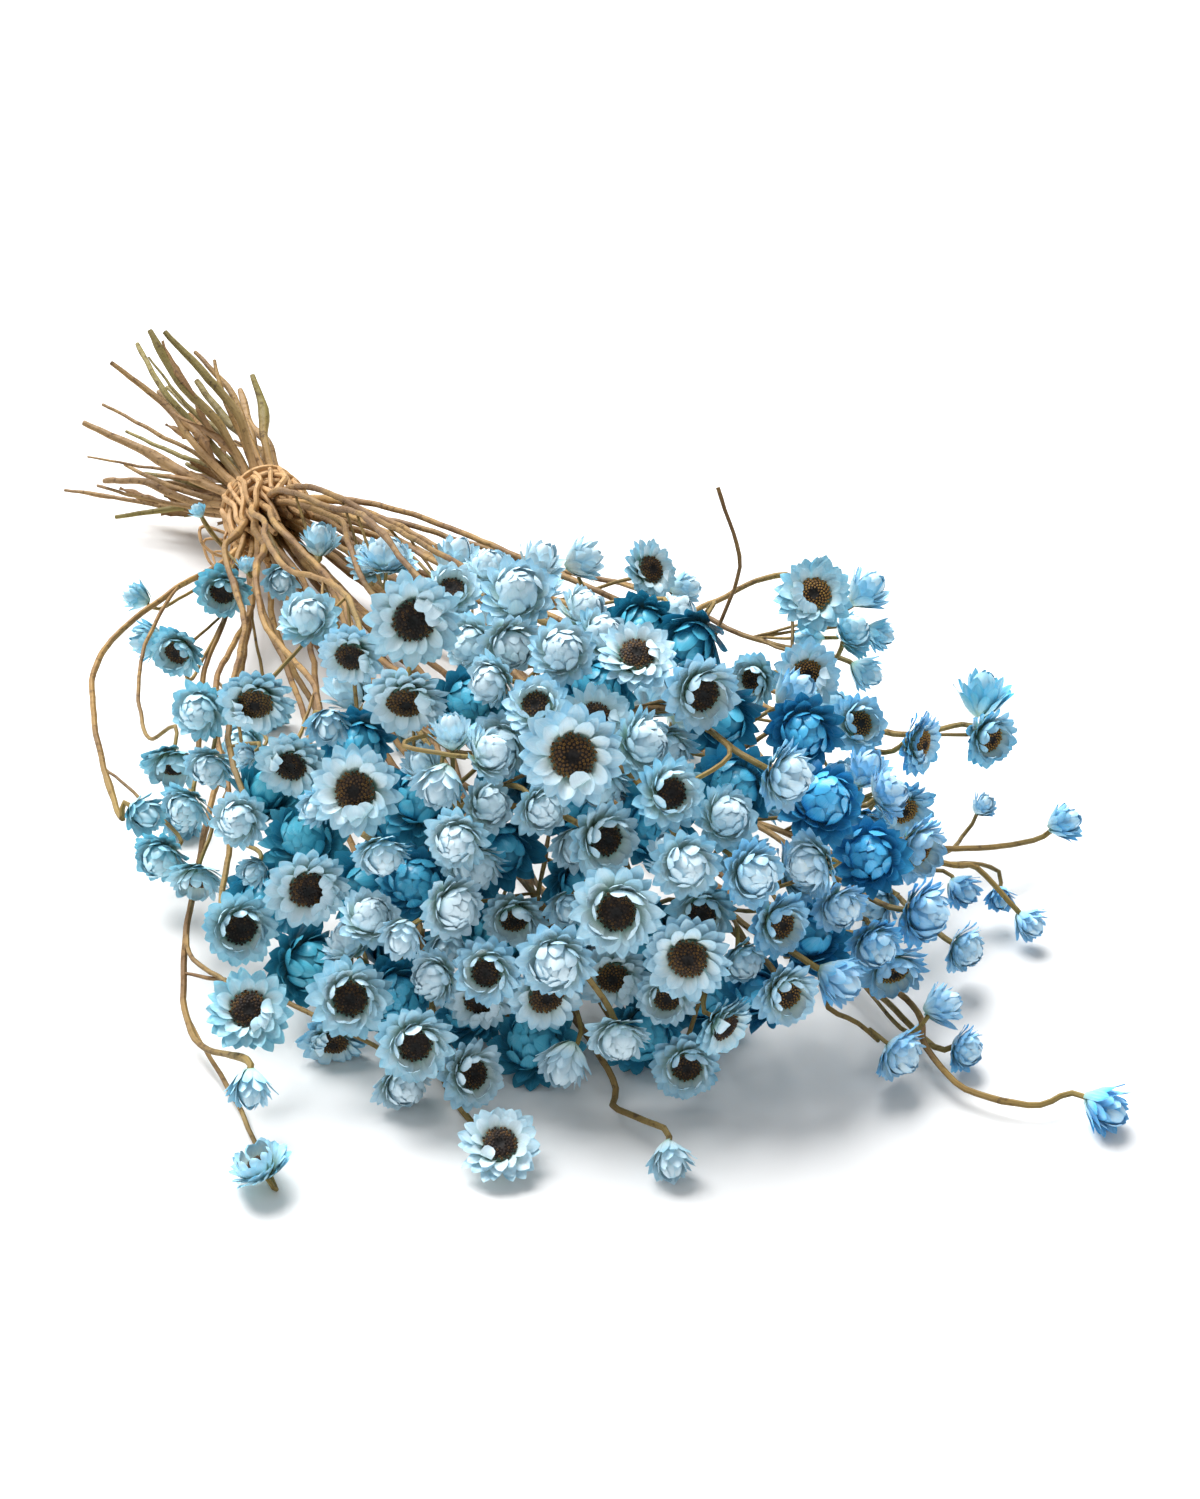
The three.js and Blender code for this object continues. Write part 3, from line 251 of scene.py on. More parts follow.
plain = {}
shownHeads = [
    # left and back, teal and pale
    ("bud", 137, 597, 12, 80, 160, high(30)),
    ("bud", 148, 640, 15, 75, 185, high(28)),
    ("cup", 223, 592, 20, 35, 250, high(32)),
    ("bud", 246, 565, 7.5, 60, 90, high(44)),
    ("bud", 281, 580, 14, 30, 270, high(46)),
    ("bud", 198, 511, 7, 70, 120, high(46)),
    ("cup", 177, 652, 18.5, 40, 230, high(34)),
    ("bud", 320, 540, 15, 60, 90, high(52)),
    ("ball", 372, 560, 17, 45, 90, high(56)),
    ("ball", 308, 617, 17.5, 30, 120, plain),
    ("open", 352, 655, 18, 35, 250, plain),
    ("open", 258, 708, 21.5, 40, 260, plain),
    ("ball", 200, 720, 17, 30, 200, plain),
    ("bud", 328, 725, 13, 40, 270, sunk(12)),
    ("cup", 172, 767, 19, 60, 265, grouped(34, "left loop", via="inner loop")),
    ("bud", 246, 755, 8, 40, 180, sunk(10)),
    ("ball", 212, 765, 15, 50, 250, sunk(14)),
    ("bud", 148, 815, 14, 40, 330, grouped(26, "left loop", True, "left loop")),
    ("ball", 178, 818, 16, 60, 230, sunk(6)),
    ("ball", 165, 845, 17, 50, 230, grouped(22, "left loop")),
    ("cup", 197, 880, 17, 65, 260, plain),
    ("ball", 245, 822, 16, 25, 200, plain),
    ("open", 300, 780, 19, 30, 250, sunk(20)),
    ("bud", 316, 808, 11, 40, 200, sunk(6)),
    ("bud", 260, 870, 10, 45, 220, sunk(8)),
    # top and middle, pale
    ("open", 425, 640, 24.5, 15, 270, plain),
    ("open", 421, 690, 22, 45, 268, sunk(6)),
    ("cup", 452, 590, 17, 35, 90, plain),
    ("ball", 512, 600, 21, 25, 90, plain),
    ("ball", 490, 568, 16, 60, 90, plain),
    ("bud", 540, 562, 15, 70, 60, plain),
    ("ball", 565, 655, 17.5, 15, 90, plain),
    ("ball", 470, 640, 17, 40, 200, sunk(14)),
    ("ball", 500, 650, 17, 40, 300, sunk(14)),
    ("bud", 450, 735, 12.5, 60, 95, plain),
    ("ball", 495, 690, 15, 55, 200, sunk(6)),
    ("cup", 540, 705, 17, 25, 120, plain),
    ("open", 580, 750, 25, 8, 270, plain),
    ("open", 614, 722, 20, 30, 60, sunk(12)),
    ("ball", 640, 750, 18, 50, 0, sunk(8)),
    ("ball", 675, 740, 18, 50, 270, sunk(14)),
    ("open", 635, 665, 20, 35, 80, plain),
    ("cup", 693, 697, 20, 30, 320, plain),
    ("ball", 500, 740, 18, 30, 200, sunk(16)),
    ("open", 370, 803, 23, 15, 200, plain),
    ("ball", 378, 840, 15, 65, 275, plain),
    ("ball", 475, 765, 15, 60, 20, plain),
    ("bud", 412, 770, 12, 40, 120, sunk(8)),
    ("bud", 460, 790, 15, 60, 250, plain),
    ("ball", 455, 825, 16, 30, 240, plain),
    ("ball", 495, 815, 15, 40, 0, sunk(8)),
    ("ball", 535, 812, 15, 40, 320, sunk(8)),
    ("ball", 480, 858, 17, 60, 270, sunk(14)),
    ("cup", 673, 790, 18.5, 25, 10, plain),
    ("ball", 780, 780, 18, 60, 340, plain),
    ("bud", 580, 838, 14, 40, 270, sunk(16)),
    ("ball", 602, 795, 16, 60, 270, sunk(14)),
    # back right
    ("bud", 583, 560, 16, 70, 20, high(72)),
    ("open", 650, 570, 19, 40, 20, high(72)),
    ("bud", 684, 588, 13, 80, 0, high(62)),
    ("ball", 590, 612, 16, 50, 40, sunk(10)),
    ("ball", 602, 640, 16, 40, 40, sunk(10)),
    ("cup", 755, 680, 17, 35, 200, high(52)),
    ("open", 805, 675, 20, 10, 0, grouped(58, "back fork")),
    ("open", 818, 600, 23, 15, 90, grouped(68, "back fork", True, "back fork")),
    ("bud", 868, 595, 16, 75, 40, high(60)),
    ("ball", 845, 635, 16, 70, 30, high(55)),
    ("bud", 815, 638, 12, 70, 180, high(52)),
    ("bud", 878, 630, 12, 80, 340, high(50)),
    ("bud", 863, 665, 13, 80, 330, high(45)),
    ("cup", 862, 725, 18, 30, 10, high(48)),
    ("ball", 830, 705, 14, 60, 100, high(44)),
    ("open", 915, 748, 19, 62, 345, high(45)),
    ("bud", 983, 695, 18, 75, 80, grouped(45, "right pair")),
    ("cup", 990, 738, 18, 45, 330, grouped(40, "right pair", True, "right pair")),
    # right, deeper blue
    ("bud", 868, 782, 15, 60, 60, high(40)),
    ("ball", 863, 818, 17, 60, 250, high(32)),
    ("open", 900, 802, 19, 40, 300, high(32)),
    ("ball", 843, 778, 15, 50, 110, high(30)),
    ("bud", 983, 806, 9, 60, 45, grouped(22, "far right", via="far right bud")),
    ("bud", 1064, 823, 12.5, 70, 20, grouped(20, "far right", True, "far right")),
    ("ball", 815, 875, 17, 60, 20, high(50)),
    ("ball", 792, 862, 17, 60, 200, sunk(8)),
    ("cup", 910, 860, 20, 60, 330, high(30)),
    ("ball", 880, 892, 18, 50, 200, high(22)),
    ("ball", 925, 915, 19, 60, 340, high(28)),
    ("bud", 962, 890, 12, 60, 320, high(14)),
    ("ball", 965, 950, 14.5, 70, 330, high(14)),
    ("cup", 893, 970, 19, 55, 290, high(20)),
    ("bud", 1000, 898, 9.5, 50, 280, grouped(10, "right twig")),
    ("bud", 1029, 923, 11.5, 65, 320, grouped(8, "right twig", True, "right twig")),
    ("ball", 900, 1055, 16, 75, 320, {"height": 12, "via": "right front"}),
    ("bud", 945, 1010, 13, 70, 20, high(17)),
    ("ball", 963, 1045, 13, 70, 340, high(9)),
    ("bud", 1105, 1108, 14.5, 70, 330, grouped(6.5, "right arm", True, "right arm")),
    ("ball", 840, 908, 15, 50, 300, sunk(14)),
    ("ball", 862, 938, 16, 50, 300, sunk(14)),
    ("ball", 757, 852, 15, 50, 300, sunk(10)),
    # front
    ("cup", 240, 928, 20, 20, 300, high(32)),
    ("open", 318, 900, 22, 30, 290, sunk(4)),
    ("ball", 385, 915, 16, 30, 60, sunk(4)),
    ("ball", 452, 915, 17, 40, 320, plain),
    ("bud", 415, 940, 13, 50, 250, plain),
    ("ball", 348, 945, 15, 60, 120, sunk(8)),
    ("cup", 520, 910, 17, 40, 270, sunk(24)),
    ("cup", 490, 965, 17.5, 20, 240, plain),
    ("open", 490, 1000, 18, 40, 270, sunk(14)),
    ("ball", 555, 965, 19, 30, 250, plain),
    ("open", 573, 1003, 20, 35, 300, sunk(8)),
    ("open", 618, 985, 19, 30, 270, sunk(18)),
    ("cup", 655, 995, 16, 30, 270, sunk(10)),
    ("ball", 610, 1032, 16, 60, 270, sunk(4)),
    ("bud", 560, 1042, 15, 70, 250, sunk(8)),
    ("cup", 630, 900, 22.5, 15, 260, plain),
    ("ball", 697, 868, 17, 20, 300, plain),
    ("bud", 660, 858, 15, 60, 120, sunk(6)),
    ("cup", 714, 920, 18, 30, 270, sunk(6)),
    ("ball", 740, 890, 17, 40, 330, plain),
    ("ball", 727, 832, 17, 30, 20, sunk(2)),
    ("open", 677, 945, 21.5, 20, 270, plain),
    ("cup", 770, 910, 17, 40, 330, plain),
    ("cup", 783, 965, 17, 40, 320, plain),
    ("bud", 830, 980, 15, 70, 330, plain),
    ("cup", 608, 855, 19.5, 35, 330, sunk(4)),
    ("open", 718, 1020, 17.5, 60, 320, plain),
    ("cup", 687, 1065, 18, 30, 280, high(14)),
    ("bud", 670, 1160, 13, 60, 280, grouped(6, "front stem", True, "front stem")),
    ("cup", 357, 990, 21, 12, 280, plain),
    ("open", 350, 1045, 18, 50, 270, sunk(6)),
    ("cup", 425, 1030, 19.5, 25, 290, plain),
    ("ball", 408, 1074, 16, 60, 300, grouped(12, "front left", via="front cross")),
    ("cup", 467, 1068, 18, 30, 340, high(14)),
    ("open", 249, 1010, 21.5, 12, 90, grouped(25, "front left", via="front open")),
    ("bud", 250, 1088, 13, 65, 272, grouped(16, "front left", True, "front left")),
    ("cup", 258, 1165, 16, 65, 120, grouped(7.5, "front left", via="front last")),
    ("open", 500, 1145, 19.5, 25, 90, high(7.5)),
    ("bud", 560, 907, 12, 40, 270, sunk(20)),
    ("ball", 430, 985, 15, 50, 200, sunk(2)),
    ("bud", 440, 960, 13, 50, 250, sunk(8)),
    ("ball", 742, 955, 14, 60, 300, sunk(10)),
]

# Stems that the picture shows whole: across, down, height above the table
shownRoutes = {
    "left loop": [(190, 590, 32), (120, 650, 28), (103, 700, 26), (112, 770, 22), (127, 822, 20)],
    "inner loop": [(172, 612, 34), (150, 655, 33), (143, 705, 31), (152, 742, 31)],
    "back fork": [(650, 625, 64), (700, 607, 66), (745, 585, 68), (786, 579, 68)],
    "right pair": [(885, 730, 40), (930, 730, 39)],
    "far right": [(915, 823, 26), (980, 837, 21)],
    "far right bud": [(935, 832, 23)],
    "right twig": [(945, 850, 24), (975, 870, 16)],
    "right arm": [(920, 990, 15), (935, 1030, 12), (975, 1075, 8), (1040, 1097, 7)],
    "right front": [(830, 998, 20), (860, 1020, 15), (882, 1040, 12)],
    "front stem": [(600, 1055, 7), (616, 1090, 5), (613, 1107, 5)],
    "front left": [(192, 905, 20), (188, 960, 14), (189, 1005, 10), (207, 1040, 10)],
    "front open": [(196, 945, 17), (232, 975, 18)],
    "front cross": [(238, 978, 16), (290, 1005, 13), (345, 1035, 12)],
    "front last": [(225, 1070, 5), (248, 1118, 4)],
}
bareTwigRoute = [(685, 665, 72), (702, 645, 80), (731, 580, 98), (735, 550, 106), (718, 487, 122)]

# Heads that the picture hides: how many, from how near, and how far from any other
hiddenKinds = {"far": (10, 70, 20), "under": (6, 120, 20), "inner": (8, 130, 17)}
hiddenValues = {"nearest": 296, "smallest": 7.5, "sizeRange": 2.5, "budShare": 0.4, "innerDepth": 0.72, "depth": 0.97}


def makeHead(form, px, py, width, tip, turn, where):
    if "height" in where:
        at = placeAt(px, py, where["height"])
    else:
        at = placeOnMound(px, py, where.get("sink", 0))
    toEye = unit(sub(eye, at))
    right = unit(cross(viewUp, toEye))
    up = cross(toEye, right)
    aside = add(times(right, math.cos(rad(turn))), times(up, math.sin(rad(turn))))
    facing = add(times(toEye, math.cos(rad(tip))), times(aside, math.sin(rad(tip))))
    return {
        "form": form, "at": at, "facing": facing, "radius": width / 2, "spray": -1,
        "group": where.get("group"), "lead": where.get("lead", False), "via": where.get("via"),
    }


def moundNormal(place):
    slope = []
    for axis in range(3):
        shift = [0, 0, 0]
        shift[axis] = 0.5
        slope.append(moundDepth(add(place, shift)) - moundDepth(sub(place, shift)))
    return unit(slope)


def hiddenHeads(taken):
    drawer = Drawer(4107)
    found = []
    for kind, (count, firstNear, apart) in hiddenKinds.items():
        left, turn = count, 0
        while turn < 3000 and left > 0:
            turn += 1
            near = firstNear + (hiddenValues["nearest"] - firstNear) * drawer.draw()
            side = drawer.draw() * 2 - 1
            radius = hiddenValues["smallest"] + drawer.draw() * hiddenValues["sizeRange"]
            form = "bud" if drawer.draw() < hiddenValues["budShare"] else "ball"
            rowLeft, rowRight, rowHigh = moundRowAt(near)
            arch = math.sqrt(1 - side * side)
            depth = hiddenValues["innerDepth" if kind == "inner" else "depth"]
            height = 0 if kind == "under" else rowHigh * arch * depth
            across = (rowLeft + rowRight) / 2 + ((rowRight - rowLeft) / 2) * side * depth
            lowest = radius * layoutValues["lowestShare"]
            at = placeInPart(across, layoutValues["tieAway"] - near, max(height, lowest))
            outward = moundNormal(at)
            facing = unit(add(outward, [0, -2 if kind == "under" else -0.4, 0]))
            hidden = kind != "far" or dot(outward, unit(sub(eye, at))) < 0.1
            if hidden and all(size(sub(other["at"], at)) > apart for other in taken + found):
                found.append({
                    "form": form, "at": at, "facing": facing, "radius": radius, "spray": -1,
                    "group": None, "lead": False, "via": None,
                })
                left -= 1
    return found


# Heads that fill the depth of the mound, looked for in an oval of the picture
gapValues = {
    "count": 36, "looks": 60, "across": 560, "down": 835, "spreadAcross": 312, "spreadDown": 215,
    "smallest": 10, "sizeRange": 2, "budShare": 0.35, "apart": 14,
    "sunkLeast": 8, "sunkRange": 12, "sunkMost": 70, "sunkStep": 6, "deepest": 0.97,
}


def openness(line, others):
    # how far outside the nearest of some heads a sight line passes, in their radii
    least = math.inf
    for other in others:
        toOther = sub(other["at"], eye)
        aside = size(sub(toOther, times(line, dot(toOther, line))))
        least = min(least, aside / other["radius"])
    return least


def gapHeads(taken, values):
    # heads deeper in the mound, each where the eye would look furthest past all the others
    drawer = Drawer(6151)
    found = []
    for _ in range(values["count"]):
        everyHead = taken + found
        best = 0
        for _ in range(values["looks"]):
            turned = 2 * math.pi * drawer.draw()
            reach = math.sqrt(drawer.draw())
            across = values["across"] + values["spreadAcross"] * reach * math.cos(turned)
            down = values["down"] + values["spreadDown"] * reach * math.sin(turned)
            line = sightLine(across, down)
            free = openness(line, everyHead)
            if free > best:
                best, px, py, sight = free, across, down, line
        radius = values["smallest"] + values["sizeRange"] * drawer.draw()
        form = "bud" if drawer.draw() < values["budShare"] else "ball"
        lean = [drawer.draw() - 0.5, drawer.draw() - 0.5, drawer.draw() - 0.5]
        behind = values["sunkLeast"] + values["sunkRange"] * drawer.draw()
        while behind < values["sunkMost"]:
            at = placeOnMound(px, py, behind)
            inMound = at[2] > radius * layoutValues["lowestShare"] and moundDepth(at) < values["deepest"]
            if inMound and all(size(sub(other["at"], at)) > values["apart"] for other in everyHead):
                # each head found here is marked for painted shade in its petals' colour
                found.append({
                    "form": form, "at": at, "facing": unit(add(lean, times(sight, -1))), "radius": radius,
                    "spray": -1, "group": None, "lead": False, "via": None, "deep": True,
                })
                break
            behind += values["sunkStep"]
    return found


def shareOut(heads):
    # heads that share a stem: halved again and again across the widest of their directions from the tie
    traits = []
    for each in heads:
        across, length, rise = sub(each["at"], tie)
        fan = 230 / max(-length, 70)
        traits.append([across * fan, rise * fan, -length * 0.3])
    named = []
    for each in heads:
        if each["group"] and each["group"] not in named:
            named.append(each["group"])
    nextSpray = [len(named)]

    def halve(members, shares):
        if shares == 1:
            for index in members:
                heads[index]["spray"] = nextSpray[0]
            nextSpray[0] += 1
            return
        spread = []
        for axis in range(3):
            values = [traits[index][axis] for index in members]
            spread.append(max(values) - min(values))
        axis = spread.index(max(spread))
        ordered = sorted(members, key=lambda index: traits[index][axis])
        lower = shares // 2
        cut = wholeNumber((len(ordered) * lower) / shares)
        halve(ordered[:cut], lower)
        halve(ordered[cut:], shares - lower)

    for each in heads:
        each["spray"] = named.index(each["group"]) if each["group"] else -1
    loose = [index for index, each in enumerate(heads) if not each["group"]]
    halve(loose, layoutValues["sprayCount"] - len(named))


def spaceOut(heads):
    # heads are moved until they are clear of each other, mostly along the line of sight
    lowestShare = layoutValues["lowestShare"]
    gap = layoutValues["clearGap"]
    for _ in range(120):
        for i, a in enumerate(heads):
            for j in range(i + 1, len(heads)):
                b = heads[j]
                pa, pb = a["at"], b["at"]
                dx, dy, dz = pb[0] - pa[0], pb[1] - pa[1], pb[2] - pa[2]
                reach = a["radius"] + b["radius"] + gap
                distance = math.sqrt(dx * dx + dy * dy + dz * dz)
                if distance < reach and distance > 0:
                    apart = [dx, dy, dz]
                    sight = unit(sub(pa, eye))
                    push = unit(add(apart, times(sight, 1.2 * dot(apart, sight))))
                    along = dot(push, apart) / distance
                    shift = times(push, (0.5 * (reach - distance)) / along)
                    a["at"] = sub(pa, shift)
                    b["at"] = add(pb, shift)
            a["at"][2] = max(a["at"][2], a["radius"] * lowestShare)


def laneMiddles(heads, count):
    # places of the stems side by side in the tie, each on the side where its heads lie
    lanes = []
    for spray in range(count):
        own = [each["at"] for each in heads if each["spray"] == spray]
        total = own[0]
        for at in own[1:]:
            total = add(total, at)
        across, length, rise = sub(times(total, 1 / len(own)), tie)
        fan = 20 / max(-length, 80)
        nudge = 0.01 * spray
        lanes.append([across * fan + nudge, (rise - 8) * 1.6 * fan])
    apart = 2 * layoutValues["trunkRadius"] + layoutValues["tieGap"]
    bundle = layoutValues["bundleRadius"]
    for _ in range(400):
        for i in range(count):
            for j in range(i + 1, count):
                dx = lanes[j][0] - lanes[i][0]
                dz = lanes[j][1] - lanes[i][1]
                distance = math.sqrt(dx * dx + dz * dz)
                if distance < apart:
                    push = (0.5 * (apart - distance)) / distance
                    lanes[i] = [lanes[i][0] - dx * push, lanes[i][1] - dz * push]
                    lanes[j] = [lanes[j][0] + dx * push, lanes[j][1] + dz * push]
            out = math.sqrt(lanes[i][0] ** 2 + lanes[i][1] ** 2)
            if out > bundle:
                lanes[i] = [(lanes[i][0] * bundle) / out, (lanes[i][1] * bundle) / out]
    return lanes


def bend(start, startWay, end, endWay, steps):
    points = []
    for step in range(steps + 1):
        t = step / steps
        a = 2 * t ** 3 - 3 * t ** 2 + 1
        b = t ** 3 - 2 * t ** 2 + t
        c = t ** 2 * (3 - 2 * t)
        d = t ** 3 - t ** 2
        points.append(add(add(times(start, a), times(startWay, b)), add(times(end, c), times(endWay, d))))
    return points


def runThrough(places, firstWay, lastWay):
    points = [places[0]]
    for leg in range(1, len(places)):
        start, end = places[leg - 1], places[leg]
        reach = size(sub(end, start))
        wayIn = firstWay if leg == 1 else unit(sub(end, places[leg - 2]))
        wayOut = lastWay if leg == len(places) - 1 else unit(sub(places[leg + 1], start))
        steps = max(1, wholeNumber(reach / layoutValues["stationSpacing"]))
        points += bend(start, times(wayIn, reach), end, times(wayOut, reach), steps)[1:]
    return points


def seatOf(each):
    return sub(each["at"], times(each["facing"], each["radius"] * 0.45))


def approachOf(each):
    place = sub(each["at"], times(each["facing"], max(each["radius"] * 1.35, 9)))
    return [place[0], place[1], max(place[2], 2)]


def cutEnd(lane, drawer):
    # a stem's cut end spreads from its place in the tie, upwards and towards -X most
    shortest, longest = layoutValues["tailShortest"], layoutValues["tailLongest"]
    length = shortest + (longest - shortest) * drawer.draw()
    spreadAcross = 2.8 if lane[0] < 0 else 1.3
    spreadUp = 4.8 if lane[1] > 0 else 0.9
    lean = (drawer.draw() - 0.5) * 14 - 7 + 2 * min(lane[1], 0)
    points = []
    for step in (3, 2, 1):
        t = step / 3
        rise = lane[1] * (1 + spreadUp * t) - 5 * t + (drawer.draw() - 0.5) * 5
        across = lane[0] * (1 + spreadAcross * t) + lean * t * t + (drawer.draw() - 0.5) * 5
        height = max(tie[2] + rise, layoutValues["cutEndRadius"] + 0.1)
        points.append([tie[0] + across, tie[1] + layoutValues["tieHalfLength"] + length * t, height])
    return points


tieEntry = 3


def trunkChain(leader, lane, drawer):
    half = layoutValues["tieHalfLength"]
    tail = cutEnd(lane, drawer)
    start = [tie[0] + lane[0], tie[1], tie[2] + lane[1]]
    entry = add(start, [0, half, 0])
    leave = add(start, [0, -half, 0])
    via = [placeAt(*spot) for spot in shownRoutes.get(leader["via"], [])]
    places = [leave] + via + [approachOf(leader), seatOf(leader)]
    outWay = unit([lane[0] * 0.05, -1, lane[1] * 0.05])
    run = runThrough(places, outWay, leader["facing"])
    waveStep = 1.1 + 0.5 * drawer.draw()
    waveStart = drawer.draw() * 6
    wave = 0 if via else 3.5
    for index in range(2, len(run) - 2):
        turn = waveStart + waveStep * index
        run[index] = add(run[index], [wave * math.sin(turn), 0, wave * 0.7 * math.cos(1.3 * turn)])
    points = tail + [entry] + run
    last = len(points) - 1
    held = [index in (tieEntry, tieEntry + 1) or index >= last for index in range(last + 1)]
    cut, trunk, tip = (layoutValues[k] for k in ("cutEndRadius", "trunkRadius", "trunkTipRadius"))
    radii = []
    for index in range(last + 1):
        if index < tieEntry:
            radii.append(cut + ((trunk - cut) * index) / tieEntry)
        else:
            radii.append(trunk + (tip - trunk) * ((index - tieEntry) / (last - tieEntry)))
    return {"points": points, "held": held, "spray": leader["spray"], "head": leader, "radii": radii,
            "forks": [], "fork": None}


def branchChain(each, trunk):
    seat = seatOf(each)
    via = [placeAt(*spot) for spot in shownRoutes.get(each["via"], [])]
    target = via[0] if via else approachOf(each)
    stem = trunk["points"]
    fork, best = tieEntry + 2, math.inf
    for index in range(tieEntry + 2, len(stem) - 2):
        toTarget = sub(target, stem[index])
        onward = unit(sub(stem[index + 1], stem[index]))
        reach = size(toTarget)
        turnedBack = max(0.5 - dot(toTarget, onward) / reach, 0)
        crowd = 12 if index in trunk["forks"] else 0
        cost = reach + crowd + turnedBack * 120 + max(22 - reach, 0) * 4
        if cost < best:
            fork, best = index, cost
    trunk["forks"].append(fork)
    start = stem[fork]
    way = unit(sub(stem[fork + 1], start))
    points = runThrough([start] + via + [approachOf(each), seat], way, each["facing"])
    last = len(points) - 1
    thick, thin = layoutValues["branchRadius"], layoutValues["branchTipRadius"]
    return {
        "points": points,
        "held": [index in (0, last) for index in range(last + 1)],
        "spray": each["spray"], "head": each, "fork": (trunk, fork),
        "radii": [thick + ((thin - thick) * index) / last for index in range(last + 1)],
    }


def bareTwig(trunk):
    places = [placeAt(*spot) for spot in bareTwigRoute]
    reaches = [size(sub(point, places[0])) for point in trunk["points"]]
    reaches[:tieEntry + 2] = [math.inf] * (tieEntry + 2)
    index = reaches.index(min(reaches))
    points = runThrough([trunk["points"][index]] + places, [0, 0, 1], [0, 0, 1])
    last = len(points) - 1
    return {
        "points": points, "held": [number in (0, last) for number in range(last + 1)],
        "spray": trunk["spray"], "head": None, "fork": (trunk, index),
        "radii": [layoutValues["branchTipRadius"]] * (last + 1),
    }


def clamp(value):
    return min(max(value, 0), 1)


def nearest(p1, q1, p2, q2):
    # shares of two straight runs where they pass nearest
    d1, d2, r = sub(q1, p1), sub(q2, p2), sub(p1, p2)
    a, e, f = dot(d1, d1), dot(d2, d2), dot(d2, r)
    c, b = dot(d1, r), dot(d1, d2)
    denominator = a * e - b * b
    s = clamp((b * f - c * e) / denominator) if denominator > 1e-9 else 0.5
    t = (b * s + f) / e if e > 0 else 0
    if t < 0 or t > 1:
        t = clamp(t)
        s = clamp((b * t - c) / a) if a > 0 else 0
    return s, t


def settleStems(chains, heads):
    # stems are bent clear of the heads and of the other stems
    gap = layoutValues["clearGap"]
    runs = []
    for number, chain in enumerate(chains):
        chain["first"] = [list(point) for point in chain["points"]]
        for index in range(len(chain["points"]) - 1):
            wide = max(chain["radii"][index], chain["radii"][index + 1])
            runs.append((chain["points"], chain["held"], index, wide, number, chain))
    chainOf = np.array([run[4] for run in runs])
    sprayOf = np.array([run[5]["spray"] for run in runs])
    forked = np.array([run[5]["fork"] is not None and run[2] == 0 for run in runs])
    grown = chainOf[:, None] == chainOf[None, :]
    grown |= (sprayOf[:, None] == sprayOf[None, :]) & (forked[:, None] | forked[None, :])
    grown |= np.tri(len(runs), dtype=bool)
    headNumber = {id(each): number for number, each in enumerate(heads)}
    own = np.zeros((len(runs), len(heads)), dtype=bool)
    for i, run in enumerate(runs):
        if run[5]["head"] is not None:
            own[i, headNumber[id(run[5]["head"])]] = True
    headAt = np.array([each["at"] for each in heads])
    headWide = np.array([each["radius"] for each in heads])

    def length(d):
        return np.sqrt(d[..., 0] * d[..., 0] + d[..., 1] * d[..., 1] + d[..., 2] * d[..., 2])

    def move(points, held, index, x, y, z):
        if not held[index]:
            p = points[index]
            points[index] = [p[0] + x, p[1] + y, p[2] + z]

    for turn in range(120):
        if turn % 10 == 0:
            ends = np.array([[run[0][run[2]], run[0][run[2] + 1]] for run in runs])
            middles = ends[:, 0] * 0.5 + ends[:, 1] * 0.5
            spans = length(ends[:, 0] - ends[:, 1]) / 2
            far = length(middles[:, None] - middles[None, :]) >= spans[:, None] + spans[None, :] + 8
            stemPairs = np.argwhere(~(far | grown)).tolist()
            far = length(middles[:, None] - headAt[None, :]) > spans[:, None] + headWide[None, :] + 8
            headPairs = np.argwhere(~(far | own)).tolist()
        for i, j in stemPairs:
            a, heldA, atA, wideA = runs[i][:4]
            b, heldB, atB, wideB = runs[j][:4]
            s, t = nearest(a[atA], a[atA + 1], b[atB], b[atB + 1])
            apart = sub(mix(b[atB], b[atB + 1], t), mix(a[atA], a[atA + 1], s))
            distance = size(apart) or 1e-6
            need = wideA + wideB + gap
            if distance < need:
                x, y, z = times(apart, (0.5 * (need - distance)) / distance)
                move(a, heldA, atA, x * -(1 - s), y * -(1 - s), z * -(1 - s))
                move(a, heldA, atA + 1, x * -s, y * -s, z * -s)
                move(b, heldB, atB, x * (1 - t), y * (1 - t), z * (1 - t))
                move(b, heldB, atB + 1, x * t, y * t, z * t)
        for i, j in headPairs:
            a, held, index, wide = runs[i][:4]
            each = heads[j]
            run = sub(a[index + 1], a[index])
            s = clamp(dot(sub(each["at"], a[index]), run) / dot(run, run))
            apart = sub(mix(a[index], a[index + 1], s), each["at"])
            distance = size(apart) or 1e-6
            need = each["radius"] + wide + gap
            if distance < need:
                x, y, z = times(apart, (need - distance) / distance)
                k, m = 1 - s * 0.5, 0.5 + s * 0.5
                move(a, held, index, x * k, y * k, z * k)
                move(a, held, index + 1, x * m, y * m, z * m)
        for chain in chains:
            points, held = chain["points"], chain["held"]
            if chain["fork"]:
                trunk, index = chain["fork"]
                points[0] = list(trunk["points"][index])
            if turn < 80:
                moved = [sub(point, first) for point, first in zip(points, chain["first"])]
                for index in range(1, len(points) - 1):
                    middle = times(add(moved[index - 1], moved[index + 1]), 0.5)
                    move(points, held, index, *times(sub(middle, moved[index]), 0.3))
            for index, point in enumerate(points):
                point[2] = max(point[2], chain["radii"][index] + 0.2)


